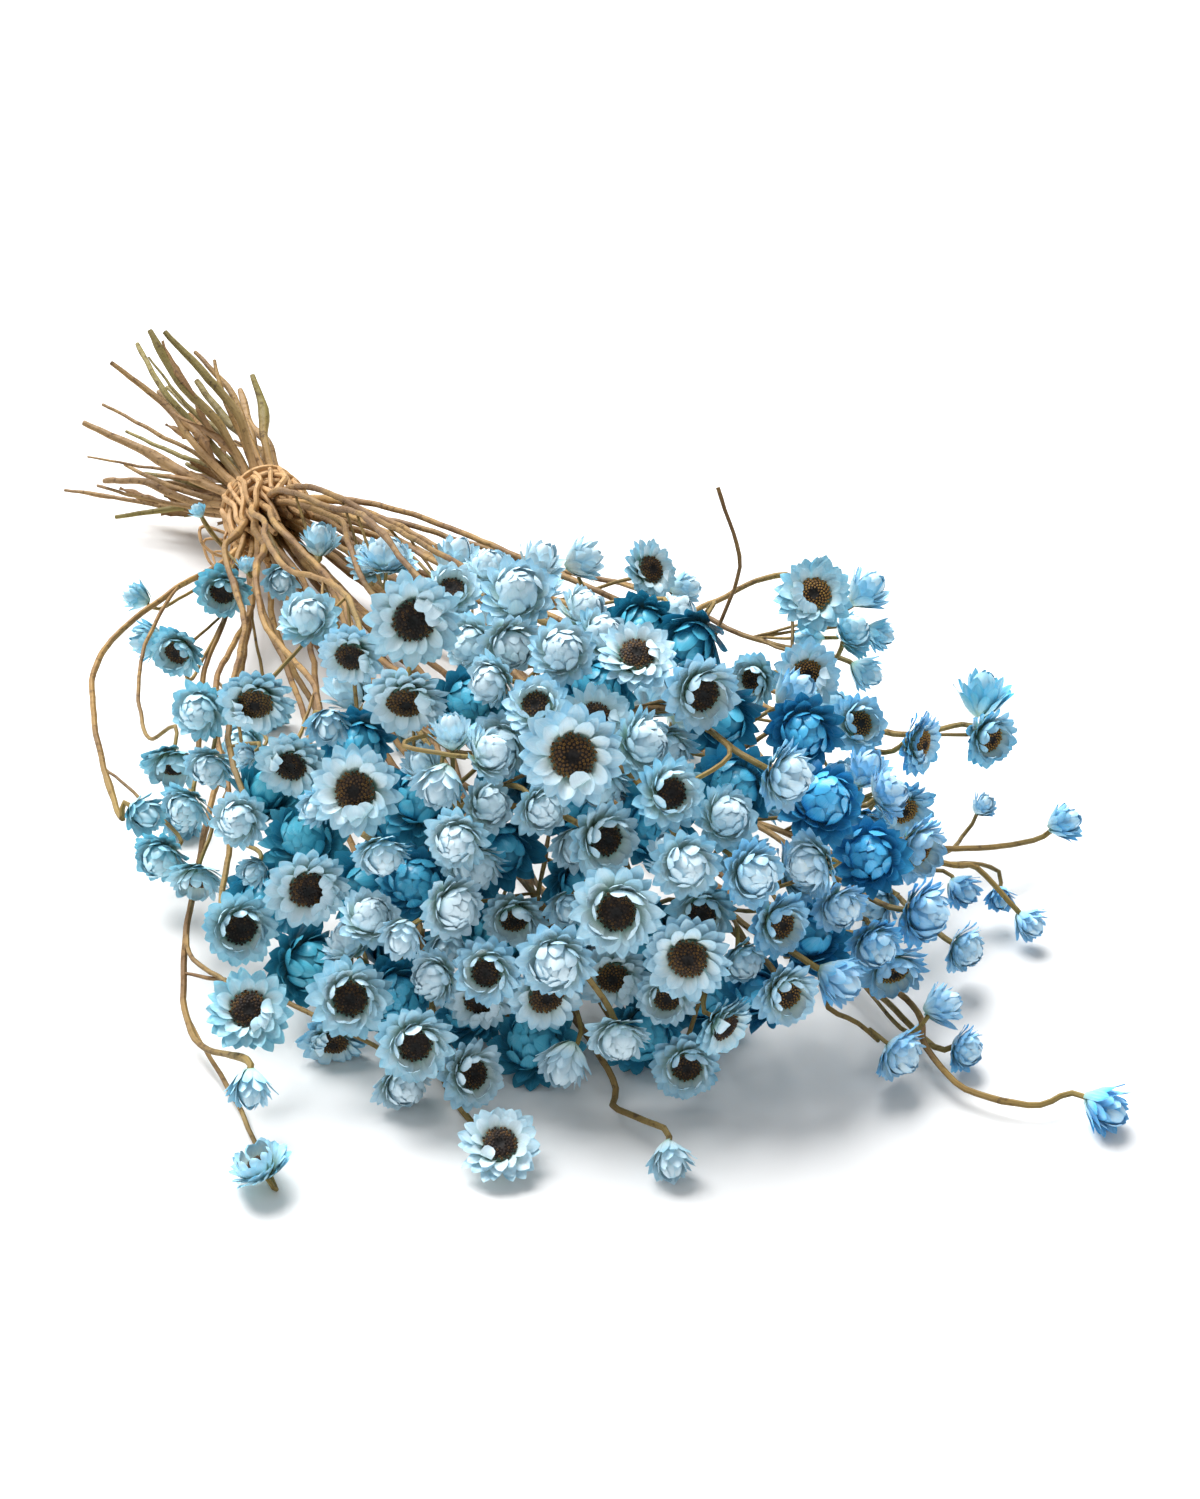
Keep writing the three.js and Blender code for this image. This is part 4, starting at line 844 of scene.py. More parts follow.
heads = [makeHead(*row) for row in shownHeads]
heads += hiddenHeads(heads)
heads += gapHeads(heads, gapValues)
shareOut(heads)
spaceOut(heads)
lanes = laneMiddles(heads, layoutValues["sprayCount"])
stemDrawer = Drawer(977)
chains = []
for spray in range(layoutValues["sprayCount"]):
    own = [each for each in heads if each["spray"] == spray]
    leader = next((each for each in own if each["lead"]), None) or min(own, key=lambda each: each["at"][1])
    trunk = trunkChain(leader, lanes[spray], stemDrawer)
    chains.append(trunk)
    chains += [branchChain(each, trunk) for each in own if each is not leader]
chains.append(bareTwig(next(chain for chain in chains if chain["head"]["via"] == "back fork")))
settleStems(chains, heads)
print("stage: layout settled,", len(heads), "heads and", len(chains), "stems")

# Shapes of petals, in shares of the head's radius. Each row of petals round a head has its own: the line from
# root to tip as reach from the head's axis and rise along it, half the width, and how far it is cupped.
petalRows = {
    "openOuter": {"line": [(0.22, -0.40), (0.58, -0.20), (0.83, -0.05), (1.04, 0.02)], "half": 0.18, "cup": 0.14,
                  "point": 0.85, "light": -0.10, "loose": 1.0},
    "openSecond": {"line": [(0.24, -0.33), (0.54, -0.06), (0.77, 0.08), (0.96, 0.15)], "half": 0.19, "cup": 0.16,
                   "point": 0.7, "light": 0.0, "loose": 0.8},
    "openInner": {"line": [(0.33, -0.18), (0.47, 0.06), (0.62, 0.20), (0.78, 0.27)], "half": 0.18, "cup": 0.15,
                  "point": 0.35, "light": 0.14, "loose": 0.7},
    "openFold": {"line": [(0.40, -0.05), (0.57, 0.18), (0.50, 0.33), (0.28, 0.32)], "half": 0.19, "cup": -0.18,
                 "point": 0, "light": 0.30, "loose": 0.5},
    "cupOuter": {"line": [(0.20, -0.47), (0.58, -0.31), (0.83, -0.14), (1.04, -0.04)], "half": 0.19, "cup": 0.14,
                 "point": 0.85, "light": -0.10, "loose": 1.0},
    "cupSecond": {"line": [(0.22, -0.40), (0.57, -0.15), (0.78, 0.04), (0.96, 0.15)], "half": 0.20, "cup": 0.16,
                  "point": 0.7, "light": 0.0, "loose": 0.8},
    "cupThird": {"line": [(0.25, -0.32), (0.55, 0.00), (0.67, 0.25), (0.76, 0.42)], "half": 0.21, "cup": 0.14,
                 "point": 0.55, "light": 0.12, "loose": 0.7},
    "cupInner": {"line": [(0.28, -0.22), (0.52, 0.10), (0.56, 0.34), (0.47, 0.50)], "half": 0.20, "cup": 0.10,
                 "point": 0.4, "light": 0.20, "loose": 0.7},
    "ballSkirt": {"line": [(0.20, -0.50), (0.58, -0.37), (0.83, -0.22), (1.06, -0.13)], "half": 0.19, "cup": 0.14,
                  "point": 0.85, "light": -0.10, "loose": 1.0},
    "ballSecond": {"line": [(0.22, -0.45), (0.60, -0.21), (0.80, -0.02), (0.97, 0.10)], "half": 0.20, "cup": 0.16,
                   "point": 0.7, "light": 0.04, "loose": 0.8},
    "ballThird": {"line": [(0.24, -0.40), (0.60, -0.10), (0.73, 0.14), (0.80, 0.34)], "half": 0.20, "cup": 0.16,
                  "point": 0.6, "light": 0.14, "loose": 0.7},
    "ballShell": {"line": [(0.25, -0.34), (0.56, -0.02), (0.60, 0.28), (0.46, 0.52)], "half": 0.22, "cup": 0.12,
                  "point": 0.5, "light": 0.28, "loose": 0.6},
    "ballTop": {"line": [(0.20, -0.1), (0.42, 0.20), (0.41, 0.46), (0.18, 0.64)], "half": 0.20, "cup": 0.12,
                "point": 0.45, "light": 0.38, "loose": 0.6},
    "ballCap": {"line": [(0.10, 0.20), (0.24, 0.42), (0.20, 0.60), (0.03, 0.69)], "half": 0.15, "cup": 0.12,
                "point": 0.3, "light": 0.42, "loose": 0.6},
    "budSkirt": {"line": [(0.12, -0.76), (0.49, -0.46), (0.75, -0.10), (1.02, 0.20)], "half": 0.21, "cup": 0.14,
                 "point": 0.8, "light": -0.08, "loose": 0.9},
    "budSecond": {"line": [(0.12, -0.72), (0.50, -0.32), (0.69, 0.12), (0.86, 0.48)], "half": 0.24, "cup": 0.12,
                  "point": 0.65, "light": 0.06, "loose": 0.7},
    "budShell": {"line": [(0.12, -0.62), (0.47, -0.18), (0.55, 0.26), (0.55, 0.66)], "half": 0.25, "cup": 0.12,
                 "point": 0.5, "light": 0.20, "loose": 0.5},
    "budTop": {"line": [(0.12, -0.3), (0.41, 0.20), (0.37, 0.58), (0.15, 0.83)], "half": 0.22, "cup": 0.12,
               "point": 0.4, "light": 0.32, "loose": 0.5},
}

petalShapeValues = {
    "variants": 3,
    "lengthSteps": [0, 0.2, 0.42, 0.62, 0.78, 0.91, 1.0],
    "widthSteps": [-1, -0.55, 0, 0.55, 1],
    "widest": 0.66,
    "rootWidth": 0.55,
    "edgeWave": 0.03,
    "lap": 0.2,
    "tipBend": 0.05,
    "seed": 211,
}

# How many petals each form of head has in each of its rows, and how ragged they stand
headValues = {
    "open": [("openOuter", 18), ("openSecond", 15), ("openInner", 11)],
    "cup": [("cupOuter", 17), ("cupSecond", 14), ("cupThird", 11), ("cupInner", 8)],
    "ball": [("ballSkirt", 16), ("ballSecond", 13), ("ballThird", 10), ("ballShell", 8), ("ballTop", 6),
             ("ballCap", 4)],
    "bud": [("budSkirt", 11), ("budSecond", 9), ("budShell", 7), ("budTop", 5)],
    "foldMost": 6,
    "foldChance": 0.6,
    "yawJitter": 0.22,
    "tiltJitter": 4.5,
    "sizeJitter": 0.06,
    "seed": 5077,
}

discValues = {
    "open": {"reach": 0.45, "rise": 0.10, "dome": 0.12, "florets": 92},
    "cup": {"reach": 0.43, "rise": 0.08, "dome": 0.10, "florets": 76},
    "floretSize": 0.056,
    "spiralTurn": 2.39996,
    "pit": 0.25,
    "seed": 83,
}

stemValues = {
    "step": 3.2,
    "corners": 8,
    "knotSize": 0.32,
    "wobble": 1.4,
    "slim": 0.2,
    "tailBulk": (0.4, 1.1),
    "kink": 1.7,
    "greenShare": 0.4,
    "seed": 19,
}

# Torn strips of dried leaf on the cut ends, most of them at the left
scrapValues = {
    "most": 3,
    "length": (12, 34),
    "width": (1.6, 4.2),
    "lean": 0.45,
    "curl": 0.9,
    "twist": 1.6,
    "ragged": 0.55,
    "steps": 9,
    "columns": 4,
}

# The lines of its strands are rows of degrees round the bundle, millimetres along it and reach from its middle
tieValues = {
    "turnSteps": 60,
    "turnSeed": 31,
    "step": 1.6,
    "corners": 8,
    "wobble": 0.6,
    "knotSize": 0.25,
    "strands": [
        # over the turns to the flower side
        {"radius": 1.05, "starts": (42, 62, 80, 97, 116, 133, 150, 172, 190),
         "line": [(0, 7, 12.8), (2, 2, 16.0), (5, -6, 16.4), (12, -15, 15.6), (18, -25, 13.0), (20, -37, 11.5)]},
        # out and turned back
        {"radius": 1.05, "starts": (70, 104, 128, 158, 182),
         "line": [(0, -2, 15.4), (7, -10, 17.8), (18, -19, 17.6), (30, -22, 15.8), (38, -15, 14.4), (40, -6, 13.2)]},
        # thin curls underneath
        {"radius": 0.55, "starts": (188, 200, 214, 226),
         "line": [(0, -3, 14.0), (5, -11, 19.0), (10, -17, 25.0), (2, -11, 29.0), (-8, -4, 26.0), (-4, -7, 20.0)]},
    ],
    "loose": (5, 2.2, 1.0),
    "nearest": 12.5,
    "seed": 64,
}

# Dye: 0 is teal and 1 the deeper blue of the heads near the eye at the right, and how much of it has washed out; the
# heads deep inside the heap get a pale value far below zero, which marks them for painted shade
dyeValues = {
    "blueAcross": (20, 75),
    "blueAway": (545, 495),
    "tealAcross": (-120, -60),
    "paleMiddle": -25,
    "paleWidth": 80,
    "paleMost": 0.48,
    "paleLeast": 0.26,
    # painted shade: the pale value given to the heads deep in the heap, which turns their petals near-black blue
    "deepPale": -0.8,
    "jitter": 0.16,
    "seed": 402,
}


def throughKnots(knots, t):
    # a smooth line through evenly shared knots
    legs = len(knots) - 1
    leg = min(int(t * legs), legs - 1)
    u = t * legs - leg
    p1, p2 = np.array(knots[leg]), np.array(knots[leg + 1])
    p0 = np.array(knots[leg - 1]) if leg else 2 * p1 - p2
    p3 = np.array(knots[leg + 2]) if leg + 2 <= legs else 2 * p2 - p1
    return 0.5 * (2 * p1 + (p2 - p0) * u + (2 * p0 - 5 * p1 + 4 * p2 - p3) * u * u
                  + (3 * p1 - p0 - 3 * p2 + p3) * u ** 3)


def meshObject(name, verts, faces, attributes=None):
    mesh = bpy.data.meshes.new(name)
    mesh.from_pydata([tuple(v) for v in verts], [], faces)
    for label, (kind, values) in (attributes or {}).items():
        layer = mesh.attributes.new(label, kind, "POINT")
        key = "vector" if kind == "FLOAT_VECTOR" else "value"
        layer.data.foreach_set(key, np.array(values, dtype=int if kind == "INT" else float).ravel())
    obj = bpy.data.objects.new(name, mesh)
    bpy.context.scene.collection.objects.link(obj)
    return obj


def petalWidth(t, point, values):
    # how wide a petal is along its length; its tip runs from round to pointed
    widest = values["widest"]
    if t < widest:
        return values["rootWidth"] + (1 - values["rootWidth"]) * math.sin(t / widest * math.pi / 2)
    u = (t - widest) / (1 - widest)
    roundTip = max(1 - u ** 2.3, 0.0) ** 0.62
    sharpTip = (1 - u) ** 0.8 * (1 + 0.25 * u)
    return max(roundTip * (1 - point) + sharpTip * point, 0.05)


def makePetal(name, row, drawer, values):
    # one petal pointing along +X from the head's axis, its lines running from root to tip
    line, half, cup = row["line"], row["half"], row["cup"]
    half *= drawer.between(0.92, 1.08)
    phase = drawer.between(0, 6)
    tipBend = drawer.between(-1, 1) * values["tipBend"]
    tipAside = drawer.between(-1, 1) * 0.05
    verts, reachOf, asideOf = [], [], []
    steps, across = values["lengthSteps"], values["widthSteps"]
    for t in steps:
        r, z = throughKnots(line, t)
        before, after = throughKnots(line, max(t - 0.02, 0)), throughKnots(line, min(t + 0.02, 1))
        way = (after - before) / np.linalg.norm(after - before)
        normal = np.array([-way[1], way[0]])
        wide = half * petalWidth(t, row["point"], values)
        round_ = max(r, 0.36)
        for v in across:
            # one side lies over the next petal and the other side under the last one
            lift = cup * wide * (v * v - 0.3) + values["lap"] * wide * v + tipBend * max(t - 0.6, 0) * 2.5
            lift += values["edgeWave"] * row["loose"] * t * abs(v) * math.sin(5 * t + 2.4 * v + phase)
            angle = v * wide / round_ + tipAside * t * t / round_
            radial = r + normal[0] * lift
            verts.append((
                radial - round_ + round_ * math.cos(angle) if radial > 0.1 else radial,
                round_ * math.sin(angle),
                z + normal[1] * lift,
            ))
            reachOf.append(t)
            asideOf.append(v)
    # flat petals show their upper side, upright ones their outer side
    upright = abs(line[2][1] - line[1][1]) > abs(line[2][0] - line[1][0])
    wide = len(across)
    faces = []
    for i in range(len(steps) - 1):
        for j in range(wide - 1):
            a = i * wide + j
            face = (a, a + 1, a + wide + 1, a + wide)
            faces.append(face if upright else face[::-1])
    return meshObject(name, verts, faces, {"reach": ("FLOAT", reachOf), "aside": ("FLOAT", asideOf)})


def makeFloret(name):
    # a small five-pointed tube, a little open at its mouth
    verts, faces, heights = [], [], []
    for ring, (reach, rise) in enumerate([(0.42, 0.0), (0.40, 0.8)]):
        for corner in range(5):
            angle = 2 * math.pi * corner / 5
            verts.append((reach * math.cos(angle), reach * math.sin(angle), rise))
            heights.append(float(ring))
    for corner in range(5):
        angle = 2 * math.pi * (corner + 0.5) / 5
        verts.append((0.62 * math.cos(angle), 0.62 * math.sin(angle), 1.1))
        heights.append(1.0)
    verts.append((0, 0, 0.55))
    heights.append(0.3)
    for corner in range(5):
        nextCorner = (corner + 1) % 5
        faces.append((corner, nextCorner, 5 + nextCorner, 10 + corner, 5 + corner))
        faces.append((5 + corner, 10 + corner, 15))
        faces.append((10 + corner, 5 + nextCorner, 15))
    return meshObject(name, verts, faces, {"mouth": ("FLOAT", heights)})


shapeDrawer = Drawer(petalShapeValues["seed"])
shapeCollection = bpy.data.collections.new("petalShapes")
bpy.context.scene.collection.children.link(shapeCollection)
shapeNumbers = {}
for rowName, row in petalRows.items():
    shapeNumbers[rowName] = len(shapeCollection.objects)
    for variant in range(petalShapeValues["variants"]):
        label = f"petal_{shapeNumbers[rowName] + variant:03d}_{rowName}"
        shape = makePetal(label, row, shapeDrawer, petalShapeValues)
        bpy.context.scene.collection.objects.unlink(shape)
        shapeCollection.objects.link(shape)
floretShape = makeFloret("floret_shape")


# Geometry Nodes trees
def makeTree(name, inputs):
    tree = bpy.data.node_groups.new(name, "GeometryNodeTree")
    tree.interface.new_socket("Geometry", in_out="INPUT", socket_type="NodeSocketGeometry")
    for label, kind, value in inputs:
        socket = tree.interface.new_socket(label, in_out="INPUT", socket_type="NodeSocket" + kind)
        if value is not None:
            socket.default_value = value
    tree.interface.new_socket("Geometry", in_out="OUTPUT", socket_type="NodeSocketGeometry")
    return tree, tree.nodes.new("NodeGroupInput"), tree.nodes.new("NodeGroupOutput")


def addNode(tree, kind, place, settings=None, **inputs):
    node = tree.nodes.new(kind)
    node.location = (place[0] * 200, place[1] * -180)
    for key, value in (settings or {}).items():
        setattr(node, key, value)
    for label, value in inputs.items():
        socket = node.inputs[label.replace("_", " ")]
        if isinstance(value, bpy.types.NodeSocket):
            tree.links.new(value, socket)
        else:
            socket.default_value = value
    return node


def namedValue(tree, label, kind, place):
    node = addNode(tree, "GeometryNodeInputNamedAttribute", place, {"data_type": kind}, Name=label)
    return node.outputs["Attribute"]


def makePetalTree():
    # one petal on each point, picked, turned and sized by the point's own values
    tree, start, end = makeTree("petalsOnHeads", [
        ("Petal Shapes", "Collection", None),
        ("Size Jitter", "Float", 0.08),
        ("Seed", "Int", 7),
        ("Petal Material", "Material", None),
    ])
    shapes = addNode(tree, "GeometryNodeCollectionInfo", (1, 2), {"transform_space": "ORIGINAL"})
    tree.links.new(start.outputs["Petal Shapes"], shapes.inputs["Collection"])
    shapes.inputs["Separate Children"].default_value = True
    shapes.inputs["Reset Children"].default_value = True
    turn = addNode(tree, "FunctionNodeEulerToRotation", (1, 4), Euler=namedValue(tree, "turn", "FLOAT_VECTOR", (0, 4)))
    low = addNode(tree, "ShaderNodeMath", (0, 6), {"operation": "SUBTRACT"})
    low.inputs[0].default_value = 1
    tree.links.new(start.outputs["Size Jitter"], low.inputs[1])
    top = addNode(tree, "ShaderNodeMath", (0, 7), {"operation": "ADD"})
    top.inputs[0].default_value = 1
    tree.links.new(start.outputs["Size Jitter"], top.inputs[1])
    jitter = addNode(tree, "FunctionNodeRandomValue", (1, 6), {"data_type": "FLOAT"})
    floats = [s for s in jitter.inputs if s.type == "VALUE" and s.name in ("Min", "Max")]
    tree.links.new(low.outputs[0], floats[0])
    tree.links.new(top.outputs[0], floats[1])
    tree.links.new(start.outputs["Seed"], jitter.inputs["Seed"])
    sizeOf = addNode(tree, "ShaderNodeVectorMath", (2, 6), {"operation": "SCALE"})
    tree.links.new(namedValue(tree, "grow", "FLOAT_VECTOR", (1, 8)), sizeOf.inputs[0])
    tree.links.new([s for s in jitter.outputs if s.type == "VALUE"][0], sizeOf.inputs["Scale"])
    place = addNode(tree, "GeometryNodeInstanceOnPoints", (3, 0), None,
                    Points=start.outputs["Geometry"], Instance=shapes.outputs[0],
                    Instance_Index=namedValue(tree, "pick", "INT", (2, 3)),
                    Rotation=turn.outputs[0], Scale=sizeOf.outputs[0])
    place.inputs["Pick Instance"].default_value = True
    real = addNode(tree, "GeometryNodeRealizeInstances", (4, 0), Geometry=place.outputs[0])
    paint = addNode(tree, "GeometryNodeSetMaterial", (5, 0), Geometry=real.outputs[0],
                    Material=start.outputs["Petal Material"])
    tree.links.new(paint.outputs[0], end.inputs["Geometry"])
    return tree


def makeFloretTree():
    # one floret on each point of a disc
    tree, start, end = makeTree("floretsOnDiscs", [
        ("Floret Shape", "Object", None),
        ("Twist", "Float", 0.6),
        ("Seed", "Int", 3),
        ("Floret Material", "Material", None),
    ])
    shape = addNode(tree, "GeometryNodeObjectInfo", (1, 2))
    tree.links.new(start.outputs["Floret Shape"], shape.inputs["Object"])
    turn = addNode(tree, "FunctionNodeEulerToRotation", (1, 4), Euler=namedValue(tree, "turn", "FLOAT_VECTOR", (0, 4)))
    spin = addNode(tree, "FunctionNodeRandomValue", (1, 6), {"data_type": "FLOAT"})
    floats = [s for s in spin.inputs if s.type == "VALUE" and s.name in ("Min", "Max")]
    floats[0].default_value = 0
    tree.links.new(start.outputs["Twist"], floats[1])
    tree.links.new(start.outputs["Seed"], spin.inputs["Seed"])
    twist = addNode(tree, "FunctionNodeAxisAngleToRotation", (2, 6))
    twist.inputs["Axis"].default_value = (0, 0, 1)
    tree.links.new([s for s in spin.outputs if s.type == "VALUE"][0], twist.inputs["Angle"])
    turned = addNode(tree, "FunctionNodeRotateRotation", (3, 5), {"rotation_space": "LOCAL"})
    tree.links.new(turn.outputs[0], turned.inputs["Rotation"])
    tree.links.new(twist.outputs[0], turned.inputs["Rotate By"])
    place = addNode(tree, "GeometryNodeInstanceOnPoints", (4, 0), None,
                    Points=start.outputs["Geometry"], Instance=shape.outputs["Geometry"],
                    Rotation=turned.outputs[0], Scale=namedValue(tree, "grow", "FLOAT_VECTOR", (3, 7)))
    real = addNode(tree, "GeometryNodeRealizeInstances", (5, 0), Geometry=place.outputs[0])
    paint = addNode(tree, "GeometryNodeSetMaterial", (6, 0), Geometry=real.outputs[0],
                    Material=start.outputs["Floret Material"])
    tree.links.new(paint.outputs[0], end.inputs["Geometry"])
    return tree


def makeStemTree():
    # a round stem with knots along each line of points
    tree, start, end = makeTree("stemsAlongLines", [
        ("Step", "Float", 0.003),
        ("Corners", "Int", 8),
        ("Wobble", "Float", 0.0004),
        ("Knot Size", "Float", 0.3),
        ("Stem Material", "Material", None),
    ])
    line = addNode(tree, "GeometryNodeMeshToCurve", (1, 0), Mesh=start.outputs["Geometry"])
    smooth = addNode(tree, "GeometryNodeCurveSplineType", (2, 0), {"spline_type": "CATMULL_ROM"}, Curve=line.outputs[0])
    cut = addNode(tree, "GeometryNodeResampleCurve", (3, 0), {"mode": "LENGTH"}, Curve=smooth.outputs[0])
    tree.links.new(start.outputs["Step"], cut.inputs["Length"])
    along = namedValue(tree, "along", "FLOAT", (0, 3))
    own = namedValue(tree, "own", "FLOAT", (0, 4))
    seedPlace = addNode(tree, "ShaderNodeCombineXYZ", (1, 3))
    scaled = addNode(tree, "ShaderNodeMath", (1, 4), {"operation": "MULTIPLY"})
    tree.links.new(along, scaled.inputs[0])
    scaled.inputs[1].default_value = 38
    tree.links.new(scaled.outputs[0], seedPlace.inputs[0])
    ownScaled = addNode(tree, "ShaderNodeMath", (1, 5), {"operation": "MULTIPLY"})
    tree.links.new(own, ownScaled.inputs[0])
    ownScaled.inputs[1].default_value = 71
    tree.links.new(ownScaled.outputs[0], seedPlace.inputs[1])
    noise = addNode(tree, "ShaderNodeTexNoise", (2, 3), None, Vector=seedPlace.outputs[0], Scale=1.0, Detail=1.0)
    knots = addNode(tree, "ShaderNodeMapRange", (3, 3), None, Value=noise.outputs[0])
    knots.inputs["From Min"].default_value = 0.58
    knots.inputs["From Max"].default_value = 0.70
    tree.links.new(start.outputs["Knot Size"], knots.inputs["To Max"])
    grow = addNode(tree, "ShaderNodeMath", (4, 3), {"operation": "ADD"})
    tree.links.new(knots.outputs[0], grow.inputs[0])
    grow.inputs[1].default_value = 1
    radius = addNode(tree, "ShaderNodeMath", (5, 3), {"operation": "MULTIPLY"})
    tree.links.new(grow.outputs[0], radius.inputs[0])
    tree.links.new(namedValue(tree, "thick", "FLOAT", (4, 5)), radius.inputs[1])
    # the line itself is a little uneven
    wave = addNode(tree, "ShaderNodeTexNoise", (3, 6), None, Scale=90.0, Detail=1.0)
    centre = addNode(tree, "ShaderNodeVectorMath", (4, 6), {"operation": "SUBTRACT"})
    tree.links.new(wave.outputs["Color"], centre.inputs[0])
    centre.inputs[1].default_value = (0.5, 0.5, 0.5)
    offset = addNode(tree, "ShaderNodeVectorMath", (5, 6), {"operation": "SCALE"})
    tree.links.new(centre.outputs[0], offset.inputs[0])
    tree.links.new(start.outputs["Wobble"], offset.inputs["Scale"])
    moved = addNode(tree, "GeometryNodeSetPosition", (5, 0), None, Geometry=cut.outputs[0], Offset=offset.outputs[0])
    sized = addNode(tree, "GeometryNodeSetCurveRadius", (6, 0), None, Curve=moved.outputs[0], Radius=radius.outputs[0])
    ring = addNode(tree, "GeometryNodeCurvePrimitiveCircle", (5, 8), {"mode": "RADIUS"})
    tree.links.new(start.outputs["Corners"], ring.inputs["Resolution"])
    ring.inputs["Radius"].default_value = 1.0
    factor = addNode(tree, "GeometryNodeSplineParameter", (5, 9))
    marked = addNode(tree, "GeometryNodeStoreNamedAttribute", (6, 8), {"data_type": "FLOAT", "domain": "POINT"})
    tree.links.new(ring.outputs[0], marked.inputs["Geometry"])
    marked.inputs["Name"].default_value = "around"
    tree.links.new(factor.outputs["Factor"], marked.inputs["Value"])
    tube = addNode(tree, "GeometryNodeCurveToMesh", (7, 0), None, Curve=sized.outputs[0])
    tree.links.new(marked.outputs[0], tube.inputs["Profile Curve"])
    tube.inputs["Fill Caps"].default_value = True
    if "Scale" in tube.inputs:
        ringSize = addNode(tree, "GeometryNodeInputRadius", (6, 2))
        tree.links.new(ringSize.outputs[0], tube.inputs["Scale"])
    shade = addNode(tree, "GeometryNodeSetShadeSmooth", (8, 0), None, Geometry=tube.outputs[0])
    real = addNode(tree, "GeometryNodeRealizeInstances", (9, 0), Geometry=shade.outputs[0])
    paint = addNode(tree, "GeometryNodeSetMaterial", (10, 0), Geometry=real.outputs[0],
                    Material=start.outputs["Stem Material"])
    tree.links.new(paint.outputs[0], end.inputs["Geometry"])
    return tree


petalTree = makePetalTree()
floretTree = makeFloretTree()
stemTree = makeStemTree()


def evaluated(source, tree, inputs, name):
    # the tree's result on the source as a plain object; the source is removed
    modifier = source.modifiers.new("shape", "NODES")
    modifier.node_group = tree
    for item in tree.interface.items_tree:
        if item.item_type == "SOCKET" and item.in_out == "INPUT" and item.name in inputs:
            modifier[item.identifier] = inputs[item.name]
    source.update_tag()
    graph = bpy.context.evaluated_depsgraph_get()
    mesh = bpy.data.meshes.new_from_object(source.evaluated_get(graph), depsgraph=graph)
    source.modifiers.remove(modifier)
    mesh.name = name
    obj = bpy.data.objects.new(name, mesh)
    bpy.context.scene.collection.objects.link(obj)
    bpy.data.objects.remove(source)
    return obj


def joined(name, objects):
    with bpy.context.temp_override(active_object=objects[0], selected_editable_objects=objects,
                                   selected_objects=objects, object=objects[0]):
        bpy.ops.object.join()
    objects[0].name = name
    objects[0].data.name = name
    return objects[0]


# Materials
def shaderGroup(name, inputs, outputs):
    group = bpy.data.node_groups.new(name, "ShaderNodeTree")
    for label, kind, value in inputs:
        socket = group.interface.new_socket(label, in_out="INPUT", socket_type="NodeSocket" + kind)
        socket.default_value = value
    for label, kind in outputs:
        group.interface.new_socket(label, in_out="OUTPUT", socket_type="NodeSocket" + kind)
    return group, group.nodes.new("NodeGroupInput"), group.nodes.new("NodeGroupOutput")


def shaderMath(tree, operation, first, second=0.0, clamp=False):
    node = tree.nodes.new("ShaderNodeMath")
    node.operation = operation
    node.use_clamp = clamp
    for socket, value in zip(node.inputs, (first, second)):
        if isinstance(value, bpy.types.NodeSocket):
            tree.links.new(value, socket)
        else:
            socket.default_value = value
    return node.outputs[0]


def shaderMix(tree, factor, first, second, blend="MIX"):
    node = tree.nodes.new("ShaderNodeMix")
    node.data_type = "RGBA"
    node.blend_type = blend
    sockets = [node.inputs["Factor"]] + [s for s in node.inputs if s.type == "RGBA"]
    factorSocket = [s for s in node.inputs if s.type == "VALUE"][0]
    for socket, value in zip([factorSocket] + sockets[1:], (factor, first, second)):
        if isinstance(value, bpy.types.NodeSocket):
            tree.links.new(value, socket)
        elif socket.type == "RGBA":
            socket.default_value = (*value, 1)
        else:
            socket.default_value = value
    return [s for s in node.outputs if s.type == "RGBA"][0]


def shaderRamp(tree, factor, stops):
    node = tree.nodes.new("ShaderNodeValToRGB")
    ramp = node.color_ramp
    for index, (place, colour) in enumerate(stops):
        element = ramp.elements[index] if index < 2 else ramp.elements.new(place)
        element.position = place
        element.color = (*colour, 1)
    tree.links.new(factor, node.inputs[0])
    return node.outputs[0]


def shaderRange(tree, value, fromLow, fromHigh, toLow=0.0, toHigh=1.0, smooth=True):
    node = tree.nodes.new("ShaderNodeMapRange")
    node.interpolation_type = "SMOOTHSTEP" if smooth else "LINEAR"
    tree.links.new(value, node.inputs["Value"])
    for label, number in (("From Min", fromLow), ("From Max", fromHigh), ("To Min", toLow), ("To Max", toHigh)):
        node.inputs[label].default_value = number
    return node.outputs[0]


def pointValue(tree, label):
    node = tree.nodes.new("ShaderNodeAttribute")
    node.attribute_name = label
    return node.outputs["Fac"]


def shaderNoise(tree, place, scale, detail=2.0, roughness=0.5):
    node = tree.nodes.new("ShaderNodeTexNoise")
    tree.links.new(place, node.inputs["Vector"])
    node.inputs["Scale"].default_value = scale
    node.inputs["Detail"].default_value = detail
    node.inputs["Roughness"].default_value = roughness
    return node.outputs[0]


def placeFrom(tree, x, y, z=0.0):
    node = tree.nodes.new("ShaderNodeCombineXYZ")
    for socket, value in zip(node.inputs, (x, y, z)):
        if isinstance(value, bpy.types.NodeSocket):
            tree.links.new(value, socket)
        else:
            socket.default_value = value
    return node.outputs[0]


